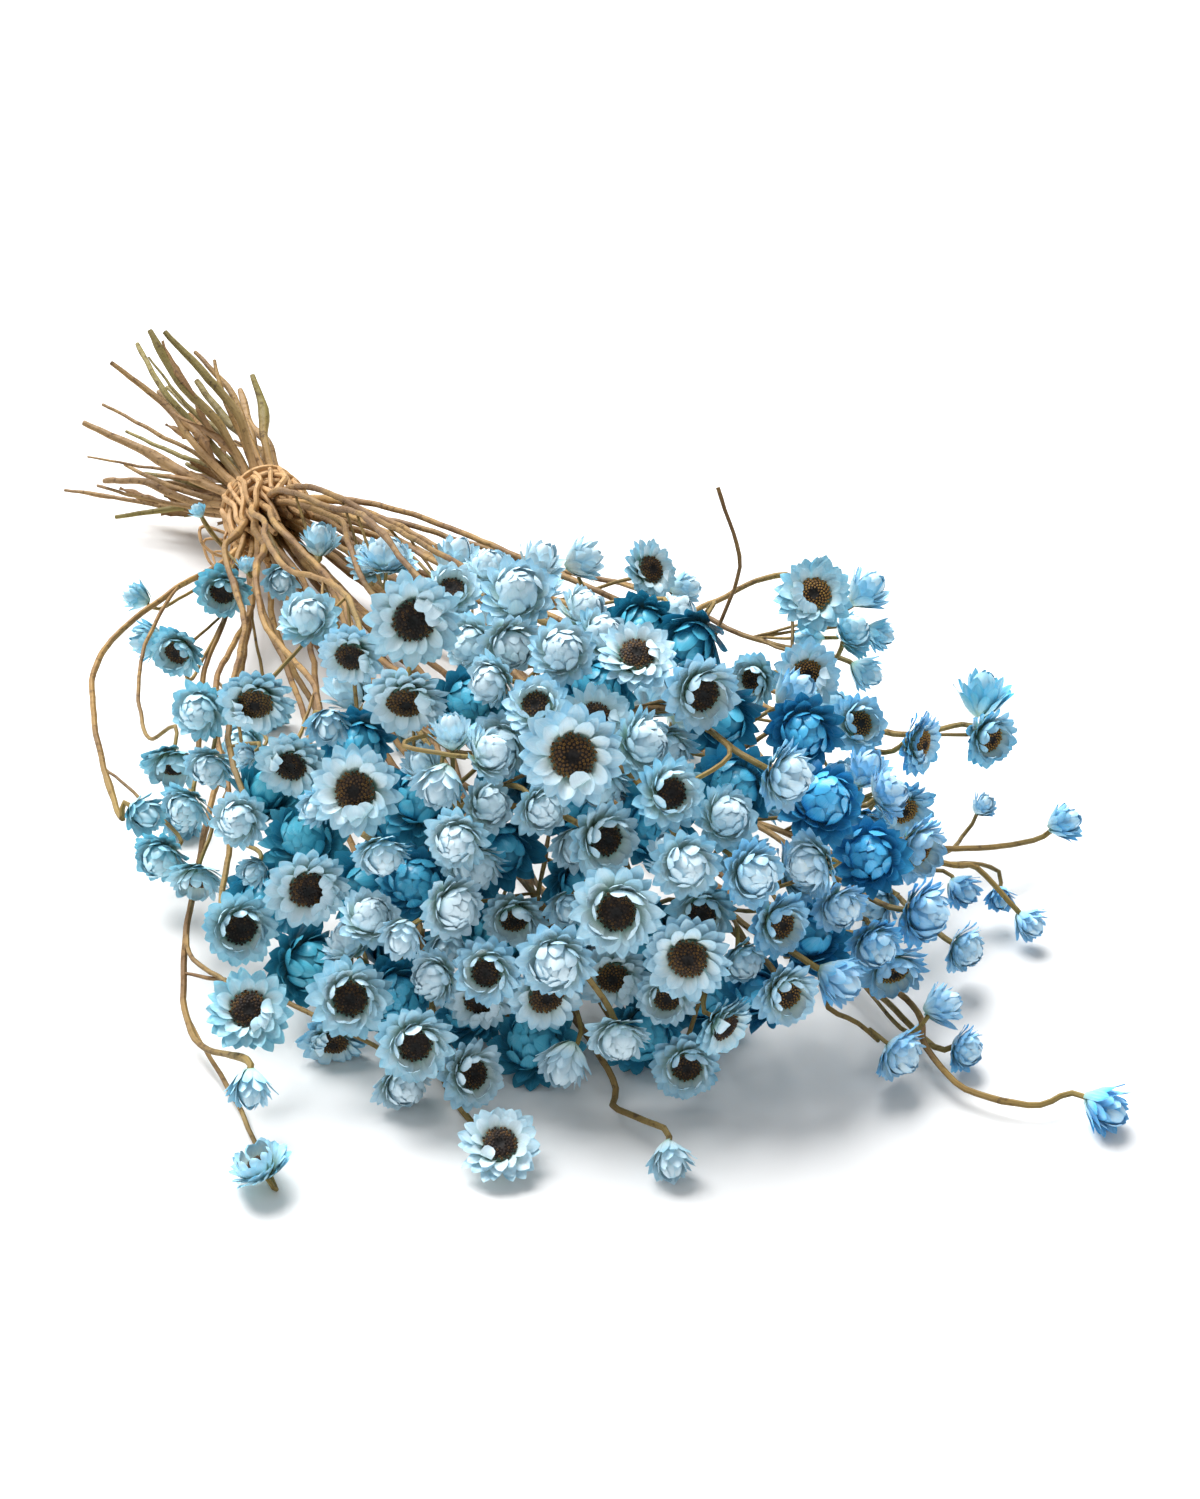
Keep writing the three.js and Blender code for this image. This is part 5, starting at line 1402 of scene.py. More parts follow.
def makeVeinGroup():
    # fine lengthwise lines on a petal or a stem, and the soft mottle of something dried
    group, start, end = shaderGroup("driedLines", [
        ("Along", "Float", 0.0), ("Aside", "Float", 0.0), ("Own", "Float", 0.0),
        ("Lines", "Float", 9.0), ("Stretch", "Float", 1.2),
    ], [("Lines", "Float"), ("Mottle", "Float")])
    ownPlace = shaderMath(group, "MULTIPLY", start.outputs["Own"], 37.0)
    across = shaderMath(group, "MULTIPLY", start.outputs["Aside"], start.outputs["Lines"])
    down = shaderMath(group, "MULTIPLY", start.outputs["Along"], start.outputs["Stretch"])
    lines = shaderNoise(group, placeFrom(group, across, down, ownPlace), 1.0, 2.0, 0.6)
    mottle = shaderNoise(group, placeFrom(group, start.outputs["Aside"], start.outputs["Along"], ownPlace), 2.4, 2.0)
    group.links.new(lines, end.inputs["Lines"])
    group.links.new(mottle, end.inputs["Mottle"])
    return group


def placeVeins(tree, group, along, aside, own, lines, stretch):
    node = tree.nodes.new("ShaderNodeGroup")
    node.node_tree = group
    tree.links.new(along, node.inputs["Along"])
    tree.links.new(aside, node.inputs["Aside"])
    tree.links.new(own, node.inputs["Own"])
    node.inputs["Lines"].default_value = lines
    node.inputs["Stretch"].default_value = stretch
    return node.outputs["Lines"], node.outputs["Mottle"]


veinGroup = makeVeinGroup()

petalPaint = {
    "teal": (0.110, 0.580, 0.740),
    "blue": (0.080, 0.510, 0.900),
    "pale": (0.700, 0.885, 0.980),
    "cream": (0.730, 0.890, 0.870),
    "root": (0.330, 0.560, 0.430),
    # painted shade: the near-black blue given to the heads deep inside the heap
    "deep": (0.008, 0.070, 0.120),
    "roughness": 0.32,
    "veins": 9.0,
    "veinStretch": 1.4,
    "streak": 0.09,
    "blotch": 0.10,
}
discPaint = {
    "pit": (0.003, 0.002, 0.0015),
    "middle": (0.022, 0.010, 0.005),
    "rim": (0.380, 0.190, 0.040),
    "yellow": (0.560, 0.380, 0.050),
}
stemPaint = {
    "tan": (0.235, 0.112, 0.036),
    "gold": (0.440, 0.250, 0.070),
    "straw": (0.700, 0.410, 0.170),
    "olive": (0.290, 0.250, 0.055),
    "dark": (0.060, 0.028, 0.011),
}


def startMaterial(name):
    material = bpy.data.materials.new(name)
    material.use_nodes = True
    tree = material.node_tree
    return material, tree, tree.nodes["Principled BSDF"]


def bumpOn(tree, bsdf, height, strength, distance):
    bump = tree.nodes.new("ShaderNodeBump")
    bump.inputs["Strength"].default_value = strength
    bump.inputs["Distance"].default_value = distance
    tree.links.new(height, bump.inputs["Height"])
    tree.links.new(bump.outputs["Normal"], bsdf.inputs["Normal"])


def petalMaterial(paint):
    material, tree, bsdf = startMaterial("dyedPetal")
    reach, aside = pointValue(tree, "reach"), pointValue(tree, "aside")
    dye, pale, own = pointValue(tree, "dye"), pointValue(tree, "pale"), pointValue(tree, "own")
    lines, mottle = placeVeins(tree, veinGroup, reach, aside, own, paint["veins"], paint["veinStretch"])
    hue = shaderMix(tree, dye, paint["teal"], paint["blue"])
    # dye gathers at tips and edges and washes out towards the root
    edge = shaderMath(tree, "ABSOLUTE", aside)
    toTip = shaderRange(tree, reach, 0.35, 1.0, 0.30, 0.0)
    streak = shaderRange(tree, lines, 0.35, 0.65, -paint["streak"], paint["streak"], False)
    blotch = shaderRange(tree, mottle, 0.3, 0.7, -paint["blotch"], paint["blotch"], False)
    washed = shaderMath(tree, "ADD", pale, toTip)
    washed = shaderMath(tree, "ADD", washed, streak)
    washed = shaderMath(tree, "ADD", washed, blotch)
    washed = shaderMath(tree, "SUBTRACT", washed, shaderMath(tree, "MULTIPLY", edge, 0.08), True)
    light = shaderMix(tree, shaderRange(tree, reach, 0.2, 0.75), paint["cream"], paint["pale"])
    colour = shaderMix(tree, washed, hue, light)
    colour = shaderMix(tree, shaderRange(tree, reach, 0.05, 0.42, 0.75, 0.0), colour, paint["root"])
    # painted shade: the heads deep inside the heap, whose pale value lies far below zero, are mixed towards a
    # near-black blue
    colour = shaderMix(tree, shaderRange(tree, pale, -0.9, -0.35, 0.45, 0.0), colour, paint["deep"])
    tree.links.new(colour, bsdf.inputs["Base Color"])
    shine = shaderRange(tree, lines, 0.3, 0.7, paint["roughness"] + 0.1, paint["roughness"] - 0.1, False)
    tree.links.new(shine, bsdf.inputs["Roughness"])
    bsdf.inputs["Specular IOR Level"].default_value = 0.55
    bumpOn(tree, bsdf, lines, 0.2, 0.0003)
    return material


def floretMaterial(paint):
    material, tree, bsdf = startMaterial("driedFloret")
    ripe, mouth, own = pointValue(tree, "ripe"), pointValue(tree, "mouth"), pointValue(tree, "own")
    yellow = pointValue(tree, "yellow")
    # dark tubes with golden mouths; the middle ones are still shut and nearly black
    rim = shaderMix(tree, yellow, paint["rim"], paint["yellow"])
    body = shaderMix(tree, yellow, paint["middle"], paint["rim"])
    golden = shaderMath(tree, "MULTIPLY", shaderRange(tree, mouth, 0.7, 1.0), shaderRange(tree, own, 0.4, 0.85))
    golden = shaderMath(tree, "MULTIPLY", golden, shaderRange(tree, ripe, 0.25, 0.7, 0.15, 1.0))
    colour = shaderMix(tree, golden, body, rim)
    shut = shaderRange(tree, ripe, 0.26, 0.4, 1.0, 0.0)
    tree.links.new(shaderMix(tree, shut, colour, paint["pit"]), bsdf.inputs["Base Color"])
    tree.links.new(shaderRange(tree, own, 0.0, 1.0, 0.6, 0.8), bsdf.inputs["Roughness"])
    return material


def bedMaterial(petalColours, discColours, stemColours):
    # what lies under the petals and florets of a head
    material, tree, bsdf = startMaterial("headBed")
    tone, own = pointValue(tree, "bedTone"), pointValue(tree, "own")
    coordinates = tree.nodes.new("ShaderNodeTexCoord")
    grain = shaderNoise(tree, coordinates.outputs["Object"], 900.0, 2.0)
    colour = shaderRamp(tree, tone, [
        (0.0, stemColours["olive"]), (1.0, discColours["pit"]),
        (0.45, petalColours["root"]), (0.7, discColours["middle"]),
    ])
    colour = shaderMix(tree, shaderRange(tree, grain, 0.3, 0.7, 0.0, 0.5), colour, discColours["pit"])
    tree.links.new(colour, bsdf.inputs["Base Color"])
    tree.links.new(shaderRange(tree, grain, 0.3, 0.7, 0.7, 0.9), bsdf.inputs["Roughness"])
    bumpOn(tree, bsdf, grain, 0.5, 0.0004)
    return material


def stemMaterial(name, paint, lineCount):
    material, tree, bsdf = startMaterial(name)
    along, around = pointValue(tree, "along"), pointValue(tree, "around")
    own, olive, bare = pointValue(tree, "own"), pointValue(tree, "olive"), pointValue(tree, "bare")
    coordinates = tree.nodes.new("ShaderNodeTexCoord")
    turn = shaderMath(tree, "MULTIPLY", around, 2 * math.pi)
    grooves = shaderMath(tree, "COSINE", shaderMath(tree, "MULTIPLY", turn, lineCount))
    speck = shaderNoise(tree, coordinates.outputs["Object"], 420.0, 3.0, 0.65)
    patch = shaderNoise(tree, coordinates.outputs["Object"], 60.0, 2.0)
    base = shaderMix(tree, shaderRange(tree, patch, 0.35, 0.65), paint["tan"], paint["gold"])
    base = shaderMix(tree, shaderMath(tree, "MULTIPLY", bare, 0.8), base, paint["straw"])
    base = shaderMix(tree, olive, base, paint["olive"])
    base = shaderMix(tree, shaderRange(tree, own, 0.0, 1.0, 0.0, 0.3), base, paint["dark"])
    flecks = shaderMath(tree, "ADD", shaderRange(tree, speck, 0.52, 0.72, 0.0, 0.65),
                        shaderRange(tree, grooves, -1.0, 1.0, 0.0, 0.22, False), True)
    tree.links.new(shaderMix(tree, flecks, base, paint["dark"]), bsdf.inputs["Base Color"])
    tree.links.new(shaderRange(tree, speck, 0.3, 0.7, 0.55, 0.78), bsdf.inputs["Roughness"])
    height = shaderMath(tree, "SUBTRACT", shaderMath(tree, "MULTIPLY", speck, 1.2),
                        shaderMath(tree, "MULTIPLY", grooves, 0.25))
    bumpOn(tree, bsdf, height, 0.6, 0.0004)
    return material


petalFinish = petalMaterial(petalPaint)
floretFinish = floretMaterial(discPaint)
bedFinish = bedMaterial(petalPaint, discPaint, stemPaint)
stemFinish = stemMaterial("driedStem", stemPaint, 5)
leafFinish = stemMaterial("driedLeaf", {**stemPaint, "straw": (0.38, 0.20, 0.08)}, 3)
print("stage: materials made")

headDrawer = Drawer(headValues["seed"])
dyeDrawer = Drawer(dyeValues["seed"])


def smoothShare(value, low, high):
    t = min(max((value - low) / (high - low), 0), 1)
    return t * t * (3 - 2 * t)


def headFrame(each):
    # the head's own axes as a matrix: across, aside and the way it faces
    facing = Vector(each["facing"]).normalized()
    guess = Vector((0, 0, 1)) if abs(facing.z) < 0.9 else Vector((0, 1, 0))
    side = guess.cross(facing).normalized()
    aside = facing.cross(side)
    return Matrix((side, aside, facing)).transposed()


def dyeAndShadeOf(each, values):
    fromEye = sub(each["at"], eye)
    across, away = dot(fromEye, viewRight), dot(fromEye, toPart([0, 1, 0]))
    nearLow, nearHigh = values["blueAway"]
    blue = smoothShare(across, *values["blueAcross"]) * smoothShare(-away, -nearLow, -nearHigh)
    left = 1 - smoothShare(across, *values["tealAcross"])
    dye = 0.35 + 0.65 * blue - 0.3 * left + dyeDrawer.between(-1, 1) * values["jitter"]
    pale = values["paleMost"] * math.exp(-((across - values["paleMiddle"]) / values["paleWidth"]) ** 2)
    pale += values["paleLeast"] + dyeDrawer.between(-1, 1) * values["jitter"]
    # heads deep in the heap get the pale value that marks them for painted shade
    if each.get("deep"):
        return min(max(dye, 0), 1), values["deepPale"]
    return min(max(dye, 0), 1), min(max(pale, 0), 0.95)


def headPetals(each):
    # the points that carry the petals of one head, with their turn, size, kind and dye
    frameOf = headFrame(each)
    grow = each["radius"] * metre
    dye, pale = dyeAndShadeOf(each, dyeValues)
    draw = headDrawer
    rows = list(headValues[each["form"]])
    foldFrom = draw.between(0, 2 * math.pi)
    if each["form"] == "open" and draw.draw() < headValues["foldChance"]:
        rows.append(("openFold", 1 + int(draw.draw() * headValues["foldMost"])))
    out = []
    for rowNumber, (row, count) in enumerate(rows):
        spacing = 2 * math.pi / count
        start = draw.between(0, spacing)
        if row == "openFold":
            spacing, start = 0.42, foldFrom
        for number in range(count):
            yaw = start + spacing * (number + draw.between(-1, 1) * headValues["yawJitter"])
            loose = petalRows[row]["loose"]
            tilt = rad(draw.between(-1, 1) * headValues["tiltJitter"] * loose)
            roll = rad(draw.between(-1, 1) * headValues["tiltJitter"] * loose)
            turn = frameOf @ Matrix.Rotation(yaw, 3, "Z") @ Matrix.Rotation(-tilt, 3, "Y")
            turn = turn @ Matrix.Rotation(roll, 3, "X")
            share = 1 + draw.between(-1, 1) * headValues["sizeJitter"]
            out.append({
                "turn": tuple(turn.to_euler()),
                "grow": (grow * share, grow * share * draw.between(0.92, 1.08), grow * share),
                "pick": shapeNumbers[row] + int(draw.draw() * petalShapeValues["variants"]),
                "dye": dye, "pale": pale + petalRows[row]["light"] + draw.between(-0.06, 0.06), "own": draw.draw(),
            })
    return out


def lathe(each, profile, corners, tones, own):
    # a closed body turned round the head's axis; its profile runs from its foot to its top
    frameOf, at, grow = headFrame(each), Vector(each["at"]), each["radius"]
    verts, faces, toneOf = [], [], []
    for (reach, rise), tone in zip(profile, tones):
        for corner in range(corners):
            angle = 2 * math.pi * corner / corners
            local = Vector((reach * math.cos(angle), reach * math.sin(angle), rise)) * grow
            verts.append(((frameOf @ local) + at) * metre)
            toneOf.append(tone)
    for ring in range(len(profile) - 1):
        for corner in range(corners):
            nextCorner = (corner + 1) % corners
            a = ring * corners
            faces.append((a + corner, a + nextCorner, a + corners + nextCorner, a + corners + corner))
    faces.append(tuple(range(corners))[::-1])
    top = (len(profile) - 1) * corners
    faces.append(tuple(top + corner for corner in range(corners)))
    return verts, faces, toneOf, [own] * len(verts)


bedProfiles = {
    "open": ([(0.16, -0.42), (0.30, -0.30), (0.42, -0.08), (0.43, 0.07), (0.32, 0.15), (0.17, 0.17), (0.05, 0.13)],
             [0.0, 0.1, 0.45, 0.6, 0.75, 0.9, 1.0]),
    "cup": ([(0.16, -0.46), (0.34, -0.34), (0.44, -0.12), (0.42, 0.06), (0.30, 0.12), (0.16, 0.14), (0.05, 0.10)],
            [0.0, 0.1, 0.4, 0.6, 0.75, 0.9, 1.0]),
    "ball": ([(0.16, -0.50), (0.36, -0.38), (0.50, -0.08), (0.51, 0.26), (0.38, 0.44), (0.18, 0.54), (0.05, 0.56)],
             [0.0, 0.2, 0.42, 0.45, 0.45, 0.45, 0.45]),
    "bud": ([(0.12, -0.74), (0.32, -0.50), (0.42, -0.15), (0.43, 0.28), (0.32, 0.54), (0.15, 0.70), (0.04, 0.74)],
            [0.0, 0.2, 0.42, 0.45, 0.45, 0.45, 0.45]),
}


def discFlorets(each, own):
    # florets in the spirals that a daisy's disc has, facing a little outwards
    frameOf, at = headFrame(each), Vector(each["at"])
    values = discValues[each["form"]]
    count = int(values["florets"] * min(each["radius"] / 9, 1.2))
    across = dot(sub(each["at"], eye), viewRight)
    yellow = min(max(headDrawer.between(-0.2, 0.3) + smoothShare(across, 25, 75), 0), 1)
    out = []
    for number in range(count):
        share = math.sqrt((number + 0.5) / count)
        if share < discValues["pit"]:
            continue
        angle = number * discValues["spiralTurn"] + own * 6
        reach = values["reach"] * share * 0.97
        rise = values["rise"] + values["dome"] * (1 - share * share) - 0.05
        local = Vector((reach * math.cos(angle), reach * math.sin(angle), rise)) * each["radius"]
        turn = frameOf @ Matrix.Rotation(angle, 3, "Z") @ Matrix.Rotation(0.45 * share, 3, "Y")
        grow = discValues["floretSize"] * each["radius"] * metre * (0.75 + 0.4 * share)
        out.append({
            "at": ((frameOf @ local) + at) * metre, "turn": tuple(turn.to_euler()), "grow": (grow, grow, grow),
            "ripe": share, "own": headDrawer.draw(), "yellow": yellow,
        })
    return out


def pointsObject(name, rows, kinds):
    return meshObject(name, [row["at"] for row in rows], [],
                      {label: (kind, [row[label] for row in rows]) for label, kind in kinds.items()})


def keptWithin(obj):
    # nothing under the table or past the solids' own box
    low, top = cadBounds
    margin = 0.0002
    count = len(obj.data.vertices)
    places = np.empty(count * 3)
    obj.data.vertices.foreach_get("co", places)
    places = places.reshape(-1, 3)
    places = np.clip(places, np.array(low) + margin, np.array(top) - margin)
    obj.data.vertices.foreach_set("co", places.ravel())
    obj.data.update()


def smoothed(obj):
    obj.data.polygons.foreach_set("use_smooth", [True] * len(obj.data.polygons))


petalKinds = {"turn": "FLOAT_VECTOR", "grow": "FLOAT_VECTOR", "pick": "INT",
              "dye": "FLOAT", "pale": "FLOAT", "own": "FLOAT"}
floretKinds = {"turn": "FLOAT_VECTOR", "grow": "FLOAT_VECTOR", "ripe": "FLOAT", "own": "FLOAT", "yellow": "FLOAT"}


def makeHeads(name, own):
    petals, florets, bedVerts, bedFaces, bedTones, bedOwn = [], [], [], [], [], []
    bedDye, bedPale, bedFinishes = [], [], []
    for each in own:
        at = Vector(each["at"]) * metre
        petals += [{**petal, "at": at} for petal in headPetals(each)]
        token = headDrawer.draw()
        verts, faces, tones, owns = lathe(each, bedProfiles[each["form"]][0], 16, bedProfiles[each["form"]][1], token)
        start = len(bedVerts)
        closed = each["form"] in ("ball", "bud")
        bedVerts += verts
        bedFaces += [tuple(start + corner for corner in face) for face in faces]
        bedFinishes += [int(closed)] * len(faces)
        bedTones += tones
        bedOwn += owns
        bedDye += [petals[-1]["dye"]] * len(verts)
        bedPale += [petals[-1]["pale"] - 0.35] * len(verts)
        if not closed:
            florets += discFlorets(each, token)
    parts = [evaluated(pointsObject(name + "_petals", petals, petalKinds), petalTree, {
        "Petal Shapes": shapeCollection, "Size Jitter": 0.05, "Seed": len(petals), "Petal Material": petalFinish,
    }, name)]
    if florets:
        parts.append(evaluated(pointsObject(name + "_florets", florets, floretKinds), floretTree, {
            "Floret Shape": floretShape, "Twist": 1.2, "Seed": len(florets), "Floret Material": floretFinish,
        }, name + "_florets"))
    bed = meshObject(name + "_bed", bedVerts, bedFaces, {
        "bedTone": ("FLOAT", bedTones), "own": ("FLOAT", bedOwn), "dye": ("FLOAT", bedDye),
        "pale": ("FLOAT", bedPale), "reach": ("FLOAT", [0.7] * len(bedVerts)),
    })
    bed.data.materials.append(bedFinish)
    bed.data.materials.append(petalFinish)
    bed.data.polygons.foreach_set("material_index", bedFinishes)
    parts.append(bed)
    piece = joined(name, parts)
    smoothed(piece)
    keptWithin(piece)
    return piece


def stemLine(chain, drawer):
    # a chain of points as an edge line, with how thick, how far along, how green and how bare it is
    points = [Vector(point) for point in chain["points"]]
    for point in points:
        # the cut ends are kinked where their leaves were
        loose = stemValues["kink"] * smoothShare(point[1] - tie[1], 14, 40)
        point += Vector([drawer.between(-loose, loose) for _ in range(3)])
    points = [point * metre for point in points]
    last = len(points) - 1
    own, bulk = drawer.draw(), drawer.between(*stemValues["tailBulk"])
    green = 0.75 if drawer.draw() < stemValues["greenShare"] else 0.05
    edges = [(index, index + 1) for index in range(last)]
    run = [0.0]
    for index in range(last):
        run.append(run[-1] + (points[index + 1] - points[index]).length)
    toHead = [max(1 - (run[-1] - reach) / 0.06, 0) if chain["head"] else 0 for reach in run]
    fromTie = [smoothShare(tie[1] - point[1], 10, 70) for point in chain["points"]]
    tail = [smoothShare(point[1] - tie[1], 12, 40) for point in chain["points"]]
    thick = []
    for radius, slimShare, tailShare in zip(chain["radii"], fromTie, tail):
        thick.append(radius * metre * (1 - stemValues["slim"] * slimShare) * (1 + (bulk - 1) * tailShare))
    thick[0] *= 0.6
    return points, edges, {
        "thick": thick, "along": run, "own": [own] * (last + 1),
        "olive": [0.10 + 0.50 * share + green * tailShare for share, tailShare in zip(toHead, tail)],
        "bare": [max(1 - share * 1.6 - tailShare * (1 - 0.6 * own), 0) for share, tailShare in zip(fromTie, tail)],
    }


def leafScrap(chain, drawer, values):
    # one torn strip that leaves the cut end of a stem, as a thin sheet with ragged sides
    points = [Vector(point) for point in chain["points"][:4]]
    place = points[3].lerp(points[1], drawer.draw())
    way = (points[0] - points[3]).normalized()
    lean = Vector([drawer.between(-1, 1), 0, drawer.between(-1, 0.8)])
    way = (way + lean * values["lean"]).normalized()
    side = way.cross(Vector((drawer.between(-1, 1), 0.2, drawer.between(-1, 1)))).normalized()
    length, width = drawer.between(*values["length"]), drawer.between(*values["width"])
    curl, twist = (drawer.between(-values[key], values[key]) for key in ("curl", "twist"))
    own = drawer.draw()
    verts, aroundOf = [], []
    steps, columns = values["steps"], values["columns"]
    for step in range(steps + 1):
        t = step / steps
        turned = Matrix.Rotation(twist * t, 3, way) @ side
        normal = way.cross(turned)
        middle = place + way * length * t + normal * length * 0.25 * curl * t * t
        half = width * (0.35 + 0.65 * math.sin(math.pi * min(t * 1.15, 1)) ** 0.6)
        for column in range(columns + 1):
            v = 2 * column / columns - 1
            torn = 1 - values["ragged"] * drawer.draw() if column in (0, columns) else 1
            bend = normal * half * 0.5 * (v * v - 0.4) + way * half * drawer.between(-0.15, 0.15)
            verts.append((middle + turned * half * v * torn + bend) * metre)
            aroundOf.append(column / columns)
    faces = []
    wide = columns + 1
    for step in range(steps):
        for column in range(columns):
            a = step * wide + column
            faces.append((a, a + 1, a + wide + 1, a + wide))
    return verts, faces, aroundOf, own


def makeScraps(name, trunk, drawer, values):
    # more strips stay on the stems at the left of the tie
    leftness = smoothShare(-(trunk["points"][4][0] - tie[0]), -9, 9)
    count = int(drawer.draw() * (values["most"] * leftness + 1))
    verts, faces, aroundOf, ownOf = [], [], [], []
    for _ in range(count):
        more, shape, around, own = leafScrap(trunk, drawer, values)
        start = len(verts)
        verts += more
        faces += [tuple(start + corner for corner in face) for face in shape]
        aroundOf += around
        ownOf += [own] * len(more)
    if not verts:
        return None
    scraps = meshObject(name, verts, faces, {
        "along": ("FLOAT", [0.0] * len(verts)), "around": ("FLOAT", aroundOf), "own": ("FLOAT", ownOf),
        "olive": ("FLOAT", [0.1] * len(verts)), "bare": ("FLOAT", [0.8] * len(verts)),
    })
    scraps.data.materials.append(leafFinish)
    return scraps


def linesObject(name, verts, edges, numbers):
    mesh = bpy.data.meshes.new(name)
    mesh.from_pydata([tuple(v) for v in verts], edges, [])
    for label, row in numbers.items():
        mesh.attributes.new(label, "FLOAT", "POINT").data.foreach_set("value", row)
    source = bpy.data.objects.new(name, mesh)
    bpy.context.scene.collection.objects.link(source)
    return source


def makeStems(name, own, seedValue):
    drawer = Drawer(seedValue)
    verts, edges = [], []
    values = {"thick": [], "along": [], "own": [], "olive": [], "bare": []}
    for chain in own:
        points, lines, more = stemLine(chain, drawer)
        start = len(verts)
        verts += points
        edges += [(start + a, start + b) for a, b in lines]
        for key in values:
            values[key] += more[key]
    stems = evaluated(linesObject(name + "_lines", verts, edges, values), stemTree, {
        "Step": stemValues["step"] * metre, "Corners": stemValues["corners"],
        "Wobble": stemValues["wobble"] * metre, "Knot Size": stemValues["knotSize"],
        "Stem Material": stemFinish,
    }, name)
    scraps = makeScraps(name + "_leaves", own[0], drawer, scrapValues)
    piece = joined(name, [stems, scraps]) if scraps else stems
    smoothed(piece)
    keptWithin(piece)
    return piece


pieces = {}
for spray in range(layoutValues["sprayCount"]):
    node = f"spray_{spray + 1:02d}"
    headsOfSpray = [each for each in heads if each["spray"] == spray]
    chainsOfSpray = [chain for chain in chains if chain["spray"] == spray]
    headPiece = makeHeads(node + "_heads", headsOfSpray)
    stemPiece = makeStems(node + "_stems", chainsOfSpray, stemValues["seed"] + spray)
    pieces[node] = (headPiece, stemPiece)
print("stage: sprays made,", len(pieces))


def tieTurns(values):
    # the middle lines of the solid tie's turns, drawn finer and closed
    drawer = Drawer(values["turnSeed"])
    wraps = []
    steps = values["turnSteps"]
    reachIn = (layoutValues["bundleRadius"] + layoutValues["trunkRadius"] + layoutValues["tieGap"])
    reachIn /= math.cos(math.pi / 11)
    count = layoutValues["wrapCount"]
    for number in range(count):
        along = 6 * ((2 * number) / (count - 1) - 1)
        lean = (drawer.draw() - 0.5) * 7
        phase = drawer.draw() * 6
        lift = 0.7 + 0.5 * drawer.draw()
        points = []
        for step in range(steps + 1):
            angle = 2 * math.pi * step / steps
            reach = reachIn + layoutValues["wrapRadius"] + lift * (1 + math.sin(angle * 2 + phase))
            reach *= math.cos(math.pi / 11) ** 0.5
            place = add(tie, [reach * math.cos(angle), along + lean * math.sin(angle + phase), reach * math.sin(angle)])
            points.append(place)
        wraps.append(points)
    return wraps


def tieStrands(values, drawer):
    # bent ends of the winding, each a little different from its kind's line
    strands = []
    for kind in values["strands"]:
        for start in kind["starts"]:
            points = []
            for turned, along, reach in kind["line"]:
                looseTurn, looseAlong, looseReach = (drawer.between(-1, 1) * most for most in values["loose"])
                angle = rad(start + turned + looseTurn)
                reach = max(reach + looseReach, values["nearest"])
                points.append(add(tie, [reach * math.cos(angle), along + looseAlong, reach * math.sin(angle)]))
            strands.append((points, kind["radius"] * drawer.between(0.8, 1.2)))
    return strands


def makeTie(values):
    drawer = Drawer(values["seed"])
    verts, edges = [], []
    numbers = {"thick": [], "along": [], "own": [], "olive": [], "bare": []}
    turns = [(points, layoutValues["wrapRadius"]) for points in tieTurns(values)]
    for points, thick in turns + tieStrands(values, drawer):
        start, own, run = len(verts), drawer.draw(), 0
        for index, point in enumerate(points):
            if index:
                run += size(sub(point, points[index - 1])) * metre
                edges.append((start + index - 1, start + index))
            verts.append(Vector(point) * metre)
            for key, value in zip(numbers, (thick * metre, run, own * 0.6, 0.05, 1.0)):
                numbers[key].append(value)
    piece = evaluated(linesObject("tie_lines", verts, edges, numbers), stemTree, {
        "Step": values["step"] * metre, "Corners": values["corners"], "Wobble": values["wobble"] * metre,
        "Knot Size": values["knotSize"], "Stem Material": stemFinish,
    }, "tie_wraps")
    keptWithin(piece)
    return piece


tiePiece = makeTie(tieValues)
print("stage: tie made")

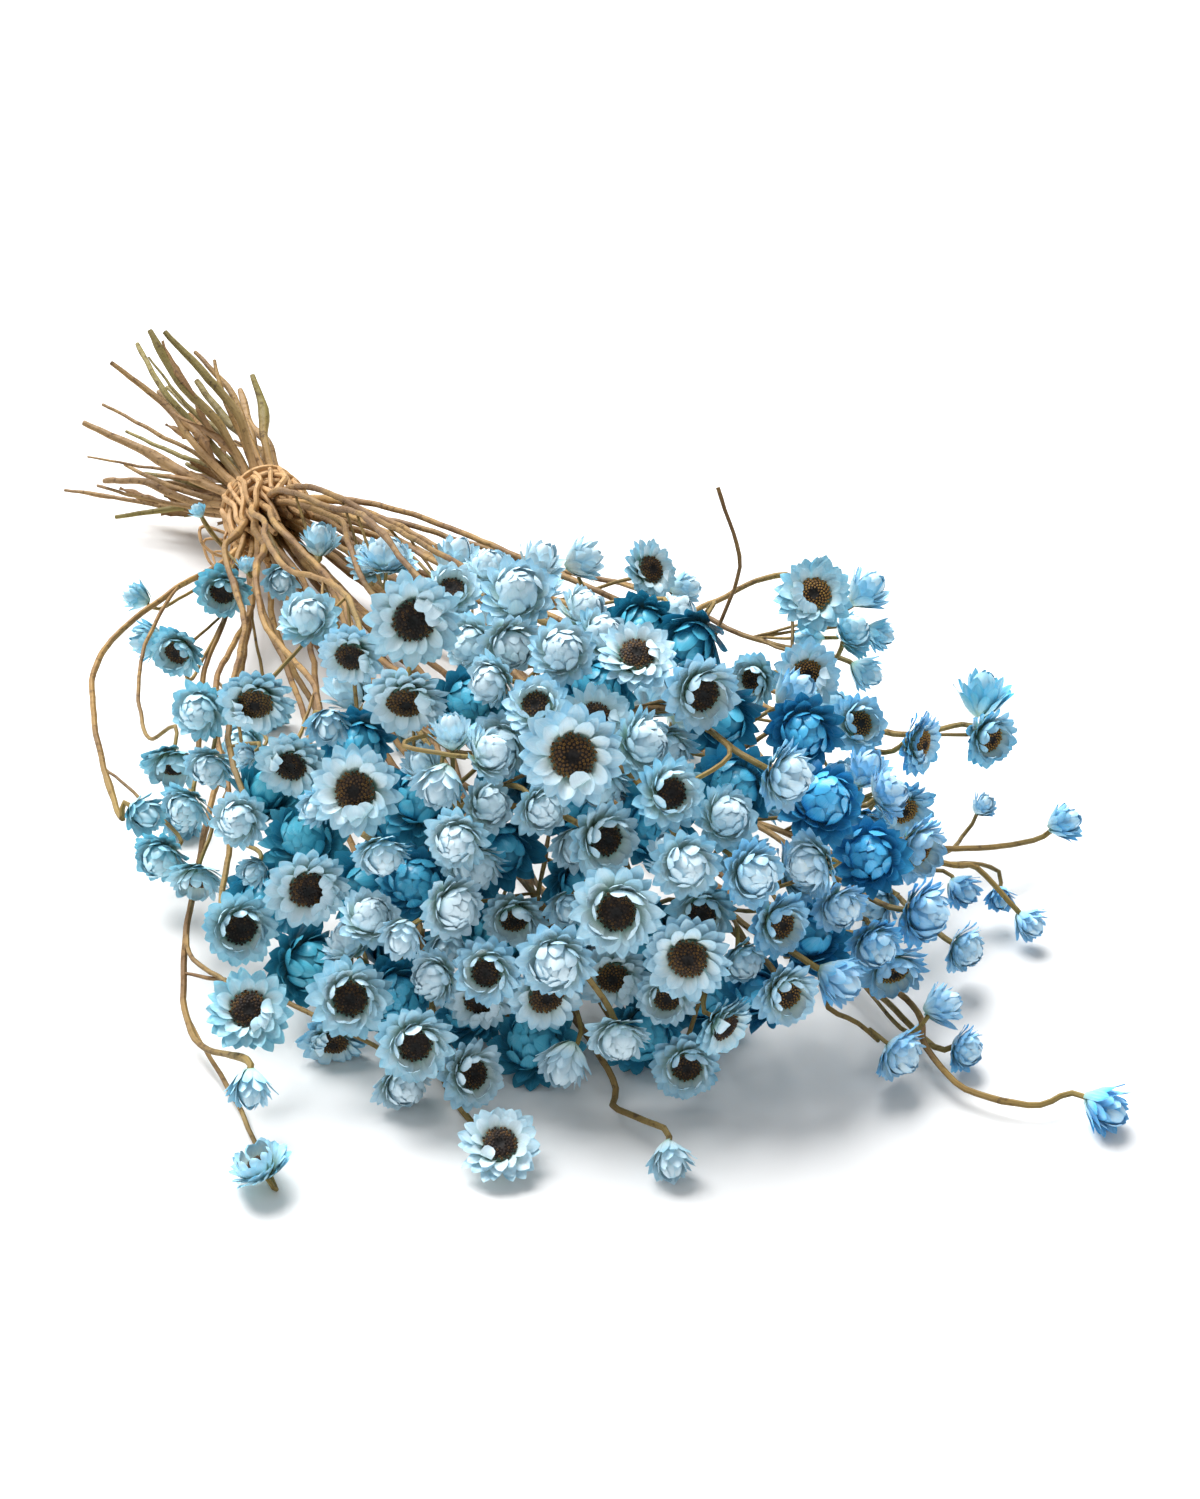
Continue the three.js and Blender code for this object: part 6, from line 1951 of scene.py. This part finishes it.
sprayColours = {
    "teal_spray": (1, 8, 9, 10, 11, 14),
    "blue_spray": (2, 3, 4, 5, 6, 31, 32, 36, 38),
}
for node, (headPiece, stemPiece) in pieces.items():
    number = int(node[-2:])
    dyeSlot = next((slot for slot, group in sprayColours.items() if number in group), "pale_spray")
    for piece, slot in ((headPiece, dyeSlot), (stemPiece, "dry_stems")):
        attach(piece, "root")
        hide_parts(node)
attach(tiePiece, "root")
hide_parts("tie")
for shape in list(shapeCollection.objects) + [floretShape]:
    bpy.data.objects.remove(shape)
bpy.data.collections.remove(shapeCollection)

# The table, the light and the eye
stageValues = {
    "floorSize": 6.0,
    "floorShade": 0.88,
    "worldShade": 1.0,
    "worldStrength": 0.45,
    "sunStrength": 5.7,
    "sunSpread": 50,
    "sunFrom": (-0.35, 0.55, 1.0),
}


def makeFloor(values):
    half = values["floorSize"] / 2
    corners = [(-half, -half, 0), (half, -half, 0), (half, half, 0), (-half, half, 0)]
    floor = meshObject("table", corners, [(0, 1, 2, 3)])
    material, tree, bsdf = startMaterial("paleTable")
    bsdf.inputs["Base Color"].default_value = (values["floorShade"],) * 3 + (1,)
    bsdf.inputs["Roughness"].default_value = 0.85
    floor.data.materials.append(material)
    return floor


floor = makeFloor(stageValues)

world = bpy.data.worlds.new("softStudio")
world.use_nodes = True
background = world.node_tree.nodes["Background"]
background.inputs["Color"].default_value = (stageValues["worldShade"],) * 3 + (1,)
background.inputs["Strength"].default_value = stageValues["worldStrength"]
bpy.context.scene.world = world

lamp = bpy.data.lights.new("softWindow", "SUN")
lamp.energy = stageValues["sunStrength"]
lamp.angle = rad(stageValues["sunSpread"])
lampObject = bpy.data.objects.new("softWindow", lamp)
lampPlace = Vector(toPart(stageValues["sunFrom"]))
lampObject.location = lampPlace
lampObject.rotation_euler = (-lampPlace).to_track_quat("-Z", "Y").to_euler()
bpy.context.scene.collection.objects.link(lampObject)

camera = bpy.data.cameras.new("eye")
camera.lens = 50
camera.sensor_fit = "VERTICAL"
camera.sensor_height = 36
camera.clip_start = 0.01
camera.clip_end = 20
cameraObject = bpy.data.objects.new("eye", camera)
ahead, upward = Vector(viewAhead), Vector(viewUp)
cameraTurn = Matrix((ahead.cross(upward), upward, -ahead)).transposed()
cameraObject.matrix_world = Matrix.Translation(Vector(eye) * metre) @ cameraTurn.to_4x4()
bpy.context.scene.collection.objects.link(cameraObject)
bpy.context.scene.camera = cameraObject
bpy.context.scene.view_settings.view_transform = "Standard"

print("stage: finished")
